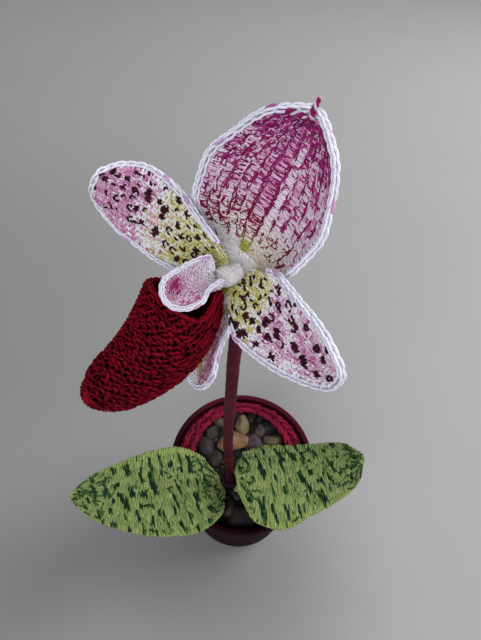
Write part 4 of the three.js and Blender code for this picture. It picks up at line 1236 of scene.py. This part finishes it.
# the core sits on the stem's end with a flat coil that widens by 0.62 mm a turn
a = np.linspace(0, 2 * np.pi * 4, 80)
seat = np.array([-6.2, -15.3]) + polar(a) * (0.992 + 0.31 * a / np.pi)[:, None]
seat = np.column_stack([seat, 355.98 + 0.9 * ease(a, 13, 25)])
core.append(strands(seat, (0, 0, 1.0), 0.42, columnLook["seat"], 6))
makePiece("flower_core_winding", core, yarns["cream_yarn"], "flower_core")
column = [nearFlower(1, 0.8), nearFlower(6, 1), nearFlower(12.5, 2.3)]
column = wrappedBar(column, (4.1, 4.5, 3.3), *wound, 2)
makePiece("column_winding", column, yarns["cream_yarn"], "column")
strap = wrappedBar([(-12.3, -19, 357.6), (-16.5, -22, 355.8), (-21.8, -26, 357.4)], (1.8, 2.2, 1.8),
                   0.5, 1.15, columnLook["olive"], 3)
# seven loose ends run from the strap into the core
ends = np.array([(-13, -19.4, 357.6), (-11.8, -18.9, 358.6), (-10.7, -18.5, 359.3)])
jogs = np.random.default_rng(6).normal(0, 0.7, (7, 3))
ends = np.stack([curveThrough(ends + jog * [[1], [1], [0.6]], 6) for jog in jogs])
strap.append(strands(ends, (0, 0, 1.0), 0.5, columnLook["olive"], 5))
makePiece("pouch_strap_winding", strap, yarns["strap_yarn"], "pouch_strap")

nib = {
    "run": ((0.3, 2.6), (4.2, 3.1), (8.4, 2.2)),  # mm past the blade's tip and out of its face
    "tail": ((-0.9, -0.55, -0.1), (0.935, 0.955, 0.955), (1.8, 2.6, 2.8)), "turns": 2.2, "points": 24,
    "bow": 0.62, "yarn": 0.58, "inks": ("#7d1148", "#951a63", "#cdbfd3"),
}


def nibParts():
    # twisted yarn end in front of the tip: three threads wound round each other, and a short tail beside it
    place = bladeSurface(blades["dorsal"])
    (tip, near), (normal, _) = place(0, (0.952, 0.937), 0)
    run = np.array([tip + unit(tip - near) * far + normal * out for far, out in nib["run"]])
    tail, _ = place(*nib["tail"])
    x = np.linspace(0, 1, nib["points"])
    out = []
    for points, size in ((run, 1.0), (tail, 0.85)):
        line = curveThrough(points, nib["points"])
        side, up = sidesOf(line, normal)
        for k, code in enumerate(nib["inks"]):
            a = (2 * np.pi * (k / 3 + nib["turns"] * x))[:, None]
            off = side * np.cos(a) + up * np.sin(a)
            bow = size * (nib["bow"] * (1 - 0.55 * x ** 3))[:, None]
            thick = size * nib["yarn"] * (1 - 0.35 * x ** 3)
            out.append(strands(line + off * bow, off, thick, hexColour(code), 8))
    return out


makePiece("dorsal_nib_twist", nibParts(), yarns["sepal_yarn"], "dorsal_nib")
print("slipper and middle of the flower are made")

# stem, its tie and the wire

stem = inks({
    "path": [(-9, -17, 42), (-9, -17, 98), (-11.5, -15, 180), (-11.4, -16, 220), (-10.5, -17, 265),
             (-9.6, -18.6, 303), (-7.6, -17, 335), (-6.2, -15.4, 355.5)],
    "r": 3.6, "bore": 1.6, "lap": 11.0, "step": (0.86, 1.0), "ridge": 0.16, "uneven": 0.1,
    "rings": 300, "sides": 24, "plum": "#4f1123", "shade": "#3c0d1a", "dark": 0.45, "paintedShadeFrom": (190, 112),
})
tapeLook = {"grain": (1.2, 1.2, 6), "detail": 4.0, "uneven": 0.6, "strength": 0.55, "relief": 0.12,
            "shade": 0.2, "roughness": 0.6, "shine": 0.12}
tie = inks({"off": (-0.3, 0.3), "turns": 6.2, "steps": 260, "low": 103.4, "rise": 5.2, "yarn": 0.5,
            "crossSteps": 90, "crossZ": 105, "crossYarn": 0.45, "sleeve": (103.2, 106, 108.9),
            "black": "#1c1016"})


def ringAt(at, r, a, z):
    # points at radius r, angle a and height z round an upright axis
    return np.stack(np.broadcast_arrays(at[0] + r * np.cos(a), at[1] + r * np.sin(a), z), -1)


def stemPart():
    # wound tape: each lap rises slowly and drops in a short step to the next
    line = curveThrough(stem["path"], stem["rings"])
    run = lengthAlong(line)[:, None]
    side, up = sidesOf(line, [0, 1.0, 0])
    a = circle(stem["sides"])
    ring = side[:, None] * np.cos(a)[:, None] + up[:, None] * np.sin(a)[:, None]
    lap = (run / stem["lap"] - a / (2 * np.pi)) % 1
    wall = stem["r"] - stem["ridge"] + stem["ridge"] * (lap - ease(lap, *stem["step"]))
    wall = wall + stem["uneven"] * (patches(run, stem["r"] * np.cos(a), 14, 5) - 0.5)
    outer, inner = (line[:, None] + ring * r for r in (wall[..., None], stem["bore"]))
    tone = mixed(stem["plum"], stem["shade"], patches(run, stem["r"] * np.sin(a), 20, 6))
    # the tape is painted darker towards the foot, from 190 mm down to 112 mm: painted shade low on the stem
    tone = tone * (1 - stem["dark"] * ease(line[:, 2], *stem["paintedShadeFrom"]))[:, None, None]
    colour = np.concatenate([tone, tone[::-1]]).reshape(-1, 3)
    return gridPart(np.concatenate([outer, inner[::-1]]), colour, closed=True)


def tieParts():
    # dark thread wound round and round the stem's foot over a sleeve, darker still as painted shade under
    # the thread, and one end drawn slantwise across it
    dice = np.random.default_rng(14)
    at = np.add(stem["path"][0][:2], tie["off"])
    u = np.linspace(0, 1, tie["steps"])
    a, r = 2 * np.pi * tie["turns"] * u, stem["r"] + 0.7
    wander = np.interp(u, np.linspace(0, 1, 24), dice.uniform(0, 0.9, 24))
    low, middle, high = tie["sleeve"]
    profile = np.array([(r, low), (r + 0.6, low), (r + 0.7, middle), (r + 0.6, high), (r, high)])
    sleeve = ringAt(at, profile[:, :1], circle(30), profile[:, 1:])
    r = r + 0.45 + 0.45 * np.sin(np.pi * u) + wander * 0.5
    out = ringAt((0, 0), 1, a, 0)
    few = slice(tie["crossSteps"])
    across = ringAt(at, r[few] + 0.6, a[few], tie["crossZ"] + 1.2 * np.sin(2 * a[few] / 3))
    return [gridPart(sleeve, tie["black"] * 0.6, closed=True),
            strands(ringAt(at, r, a, tie["low"] + tie["rise"] * u), out, tie["yarn"], tie["black"], 6),
            strands(across, out[few], tie["crossYarn"], tie["black"], 6)]


makePiece("stem_tape", [stemPart()], grainyMaterial("waxed floral tape, plum", tapeLook), "stem_wrap")
makePiece("stem_thread", tieParts(), yarns["tie_thread"], "stem_tie")
print("stem is wound")

# pot, stones and collar

pot = inks({
    "height": 112, "footR": 45.8, "rimR": 59.4, "wall": 2.2, "floor": 2.5, "wallTopR": 56.8,
    "bandLow": 105.5, "segments": 160, "scuffs": 7, "skin": 1.1, "maroon": "#1d070d", "litRimMaroon": "#461320",
    # the rim is painted lighter and redder where light falls on it, as y, x and z go from one place to the
    # other: axis, from and to in metres; the front, the far left and the wall below keep the darker maroon
    # as painted shade
    "paintedRimLight": ((1, -0.035, 0.0), (0, -0.057, -0.03), (2, 0.1085, 0.1105)),
})


def wallAt(z):
    # outer radius of the wall at this height
    return pot["footR"] + (pot["wallTopR"] - pot["footR"]) * z / pot["bandLow"]


def corner(x, z, r, a0, a1, count=6):
    # arc of a rounded corner, as (radius, height) points
    a = np.radians(np.linspace(a0, a1, count))
    return [(x + r * math.cos(k), z + r * math.sin(k)) for k in a]


def potProfile():
    # the outside from the foot up, over the lip and down the inside
    top, band, wall, rim = pot["height"], pot["bandLow"], pot["wall"], pot["rimR"]
    return ([(30, 1.0), (41, 1.0), (41.6, 0.0)] + corner(pot["footR"] - 1.6, 1.6, 1.6, -90, -5)
            + [(wallAt(z) + 0.05 * (k % 2), z) for k, z in enumerate(np.linspace(4, band - 2, 14))]
            + [(wallAt(band - 0.9), band - 0.9), (57.3, band + 0.1)]
            + corner(rim - 0.9, band + 1.0, 0.9, -80, 0)
            + [(rim, band + 3.0), (rim - 0.25, band + 3.3), (rim, band + 3.6)]
            + corner(rim - 1.1, top - 1.1, 1.1, 0, 90)
            + [(rim - 1.9, top - 0.1), (rim - 2.2, top - 0.5), (rim - 2.6, top - 0.5)]
            + corner(56.5, top - 1.1, 0.8, 70, 180)
            + [(55.4, band + 1)] + [(wallAt(z) - wall, z) for z in (101.5, 60, 8)]
            + [(wallAt(3) - wall - 0.6, 3.2), (wallAt(2.5) - wall - 2, pot["floor"]), (20, pot["floor"])])


def potMaterial():
    # injection-moulded polypropylene: smooth, with a soft gloss and faint scuffs; the top of the rim at the
    # back and right is painted a lighter, redder maroon as a painted highlight, and its front and left stay
    # dark as painted shade
    material, tree, place = newMaterial("moulded polypropylene, dark maroon")
    scuffs = addNode(tree, "TexNoise", {"Vector": place, "Scale": 1 / (pot["scuffs"] * mm), "Detail": 6.0,
                                        "Roughness": 0.7})
    skin = addNode(tree, "TexNoise", {"Vector": place, "Scale": 1 / (pot["skin"] * mm), "Detail": 2.0})
    bump = addNode(tree, "Bump", {"Strength": 0.12, "Distance": 0.1 * mm, "Height": skin})
    xyz = addNode(tree, "SeparateXYZ", {0: place}).outputs
    # mask of the painted highlight on the rim
    red = 1.0
    for axis, low, high in pot["paintedRimLight"]:
        red = addNode(tree, "MapRange", {"Value": xyz[axis], "From Min": low, "From Max": high,
                                         "To Max": red})
    base = addNode(tree, "Mix", {0: red, 6: solid(pot["maroon"]), 7: solid(pot["litRimMaroon"])},
                   data_type="RGBA").outputs[2]
    level = addNode(tree, "MapRange", {"Value": scuffs, "To Min": 0.7, "To Max": 1.3})
    colour = addNode(tree, "VectorMath", {0: base, "Scale": level}, operation="SCALE")
    rough = addNode(tree, "MapRange", {"Value": scuffs, "From Min": 0.3, "From Max": 0.7,
                                       "To Min": 0.42, "To Max": 0.58})
    return finished(material, {"Base Color": colour, "Roughness": rough, "Normal": bump, "IOR": 1.06})


r, z = np.array(potProfile()).T[..., None]
makePiece("pot_shell", [gridPart(ringAt((0, 0), r, circle(pot["segments"]), z), pot["maroon"])],
          potMaterial(), "pot")

collar = inks({
    "outerR": 54.7, "innerBack": 43.5, "wider": 4, "z": 107.5, "slope": 1.5, "from": -56, "to": 236,
    "middleR": 48, "yarn": 1.2, "pitch": 6.6, "postYarn": 0.8, "raspberry": "#861834", "dark": "#4a0c1f",
    # the strip's section: share of the way in from the wall, and height
    "section": ((0.03, 0.3, 0.6, 0.97, 0.97, 0.6, 0.3, 0.03),
                (-0.1, 0.1, 0.1, -0.1, -0.9, -1.1, -1.1, -0.9)),
    "rows": ((0.2, 0.42), (0.9, 0.64)),
})


def onCollar(a, u, h):
    # angle a, share u of the way in from the wall, h mm above the strip
    inner = collar["innerBack"] - collar["wider"] * np.cos(a) ** 2
    r = collar["outerR"] + (inner - collar["outerR"]) * u
    return ringAt((0, 0), r, a, collar["z"] + collar["slope"] * u + h)


def collarParts():
    # a flat strip, darkened as painted shade between the loops, under loops of yarn that follow it round
    dice = np.random.default_rng(95)
    red, dark, start, end = (collar[key] for key in ("raspberry", "dark", "from", "to"))
    u, h = np.array(collar["section"])
    a = np.radians(np.linspace(start, end, 150))[:, None]
    out = [gridPart(onCollar(a, u, h), dark * 0.7)]
    step = collar["pitch"] / collar["middleR"]
    count = int(math.radians(end - start) / step) - 1
    x = np.linspace(0, 1, 7)
    # two rows of long loops that slant one way and the other, each loop of two strands
    for row, (low, high) in enumerate(collar["rows"]):
        for strand in (0, 1):
            begin = math.radians(start) + step * (0.1 + 0.5 * row + 0.33 * strand + np.arange(count))
            begin = (begin + step * dice.normal(0, 0.12, count))[:, None]
            turn = begin + step * (1.35 + dice.normal(0, 0.12, (count, 1))) * x
            wave = x + 0.3 * np.sin(2 * np.pi * x) * (1 - 2 * strand)
            across = low + (high - low) * wave + 0.035 * dice.normal(size=(count, 1))
            lift = 0.9 * np.sin(np.pi * (0.1 + 0.8 * x)) + 0.2 * dice.normal(size=(count, 1))
            tone = mixed(dark, red, dice.uniform(0.2, 1, count))
            out.append(strands(onCollar(turn, across, lift), (0, 0, 1.0), collar["yarn"], tone, 6))
    # posts across the strip, seen in the gaps, darkened a little more as painted shade
    begin = np.radians(np.linspace(start + 1.5, end - 1.5, 3 * count)) + 0.01 * dice.normal(size=3 * count)
    path = onCollar(begin[:, None] + 0.02 * np.sin(3 * x), 0.04 + 0.92 * x, 0.15)
    tone = mixed(dark, red, dice.uniform(0, 0.8, len(begin))) * 0.85
    out.append(strands(path, (0, 0, 1.0), collar["postYarn"], tone, 5))
    return out


makePiece("pot_collar_crochet", collarParts(), yarns["collar_yarn"], "pot_collar")

stones = [
    # centre, half lengths, turn about Z in degrees, colour and vein colour
    ((-9, 19, 101), (13.5, 9.5, 6.5), 8, "#7d5f41", "#5a4130"),
    ((-1, 35, 101), (6.5, 10, 6.5), -8, "#76664c", "#5e503c"),
    ((-21, 37, 100), (4.5, 5, 5), 20, "#5c5145", "#41382f"),
    ((7, 42, 100), (5.5, 4.5, 5), 30, "#2b2725", "#1e1b1a"),
    ((23, 33.5, 100), (7, 6.5, 5.5), -35, "#262427", "#19181a"),
    ((15, 31, 100), (5, 7, 5.5), -15, "#4a403b", "#342c2a"),
    ((12, 18, 99), (7.5, 9.5, 5), 20, "#4e4345", "#352c2e"),
    ((27, 21, 100), (8.5, 7.5, 5.5), -10, "#655745", "#4c4033"),
    ((-33, 14, 100), (9.5, 9.5, 6), 15, "#322a29", "#241d1c"),
    ((-28, 26.5, 100), (6.5, 6, 5), 45, "#332d2a", "#231f1d"),
    ((-24, 2, 100), (8, 7, 5), 70, "#2c2524", "#1f1918"),
    ((-37, -1, 99), (7, 8, 5), 10, "#352b29", "#251e1c"),
    ((2, -44.5, 102), (13.5, 8.5, 5), 5, "#2b1f20", "#201718"),
    ((-8, -38, 101), (5, 7.5, 5), -20, "#3a2c22", "#2a211a"),
]
gravel = {
    "bedTop": 100, "low": 96.4, "uneven": 1.6, "reach": 53.2, "holeR": 4.2, "columns": 96, "rows": 26,
    "filler": 26, "small": 110, "fillerR": (3.6, 6), "smallR": (1.6, 3.4), "tries": 30, "overlap": 0.78,
    "stemRoom": 4.6,
    "gapShadow": "#140f0e", "vein": "#2e2828",
    "tones": ("#2f2826", "#3b312c", "#252120", "#4a3e33", "#352c2c", "#2c2621"),
    "planes": 10, "sharp": 22, "widest": 1.12,
}
stoneLook = {"grain": (0.9, 0.9, 0.9), "detail": 5.0, "uneven": 0.7, "strength": 0.5, "relief": 0.25,
             "shade": 0.3, "roughness": 0.6, "shine": 0.2}


def stonePart(at, size, turn, tone, vein, seed, rings, sides):
    # pebble with worn facets: towards d its radius is (sum over its planes of max(0, d.n/c)^22)^(-1/22)
    dice = np.random.default_rng(seed)
    planes = unit(dice.normal(size=(gravel["planes"], 3)))
    far, sharp = dice.uniform(0.76, 1.0, gravel["planes"]), gravel["sharp"]
    down = np.linspace(0.14, np.pi - 0.14, rings)[:, None]
    d = ringAt((0, 0), np.sin(down), circle(sides), np.cos(down))
    radius = (np.maximum(0, d @ planes.T / far) ** sharp).sum(-1) ** (-1 / sharp)
    x, y, z = np.moveaxis(d * np.minimum(radius, gravel["widest"])[..., None] * np.array(size), -1, 0)
    c, s = math.cos(math.radians(turn)), math.sin(math.radians(turn))
    p = np.stack([c * x - s * y, s * x + c * y, z], -1) + np.array(at)
    veined = patches(p[..., 0] + 0.6 * p[..., 2], p[..., 1], 0.8 * max(size), seed)
    return gridPart(p, mixed(hexColour(tone), hexColour(vein), veined).reshape(-1, 3))


def pebbleParts():
    # a bed, near black as painted shade in the gaps between stones, with a hole for the stem; the large
    # stones; and smaller ones thrown at random where there is room
    dice = np.random.default_rng(7)
    stemAt, ring = np.array(stem["path"][0][:2]), polar(circle(gravel["columns"]))
    hole, edge = stemAt + gravel["holeR"] * ring, gravel["reach"] * ring
    u = np.linspace(0, 1, gravel["rows"])[:, None, None]
    flat = hole * (1 - u) + edge * u
    z = gravel["bedTop"] + gravel["uneven"] * (patches(flat[..., 0], flat[..., 1], 7, 4) - 1)
    z = np.pad(z, ((0, 2), (0, 0)), constant_values=gravel["low"])
    bed = np.dstack([np.concatenate([flat, [edge, hole]]), z])
    out = [gridPart(bed, hexColour(gravel["gapShadow"]), closed=True)]
    out += [stonePart(*stone, 100 + k, 16, 26) for k, stone in enumerate(stones)]
    placed = [(at, max(size[:2])) for at, size, *_ in stones]
    for k in range(gravel["filler"] + gravel["small"]):
        for _ in range(gravel["tries"]):
            r = dice.uniform(*gravel["fillerR" if k < gravel["filler"] else "smallR"])
            around, far = dice.uniform(0, 2 * np.pi), (gravel["reach"] - 1 - r) * math.sqrt(dice.uniform())
            at = (far * math.cos(around), far * math.sin(around), gravel["bedTop"] + dice.uniform(-1.2, 0.6))
            clear = math.dist(at[:2], stemAt) > r * 1.15 + gravel["stemRoom"]
            clear = clear and all(math.dist(at[:2], q[:2]) > gravel["overlap"] * (r + s) for q, s in placed)
            if clear:
                break
        if clear:
            placed.append((at, r))
            tone = gravel["tones"][dice.integers(len(gravel["tones"]))]
            size = (r, r * dice.uniform(0.7, 1), r * dice.uniform(0.55, 0.8))
            out.append(stonePart(at, size, dice.uniform(0, 360), tone, gravel["vein"], 200 + k, 9, 13))
    return out


makePiece("pebble_bed", pebbleParts(), grainyMaterial("worn river pebble", stoneLook), "pebbles")


def foamMaterial():
    # expanded polystyrene: white and matt, of beads pressed together
    material, tree, place = newMaterial("white expanded polystyrene")
    beads = addNode(tree, "TexVoronoi", {"Vector": place, "Scale": 1 / (3.5 * mm)})
    bump = addNode(tree, "Bump", {"Strength": 0.7, "Distance": 0.3 * mm, "Height": beads})
    base = hexColour("#d9d1c4")
    colour = addNode(tree, "Mix", {0: beads, 6: solid(base), 7: solid(base, 0.85)}, data_type="RGBA")
    return finished(material, {"Base Color": colour.outputs[2], "Roughness": 0.8, "Normal": bump})


def wireMaterial():
    # galvanised wire: grey metal with a dull, streaky shine
    material, tree, place = newMaterial("galvanised steel wire")
    streaks = addNode(tree, "TexNoise", {"Vector": place, "Scale": 1 / (2 * mm), "Detail": 3.0})
    rough = addNode(tree, "MapRange", {"Value": streaks, "To Min": 0.35, "To Max": 0.6})
    grey = solid(hexColour("#8d9094"))
    return finished(material, {"Base Color": grey, "Metallic": 1.0, "Roughness": rough})


for node, material in (("pot_filling", foamMaterial()), ("stem_wire", wireMaterial())):
    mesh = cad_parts[node].data
    mesh.materials.clear()
    mesh.materials.append(material)
print("pot, collar and stones are in")
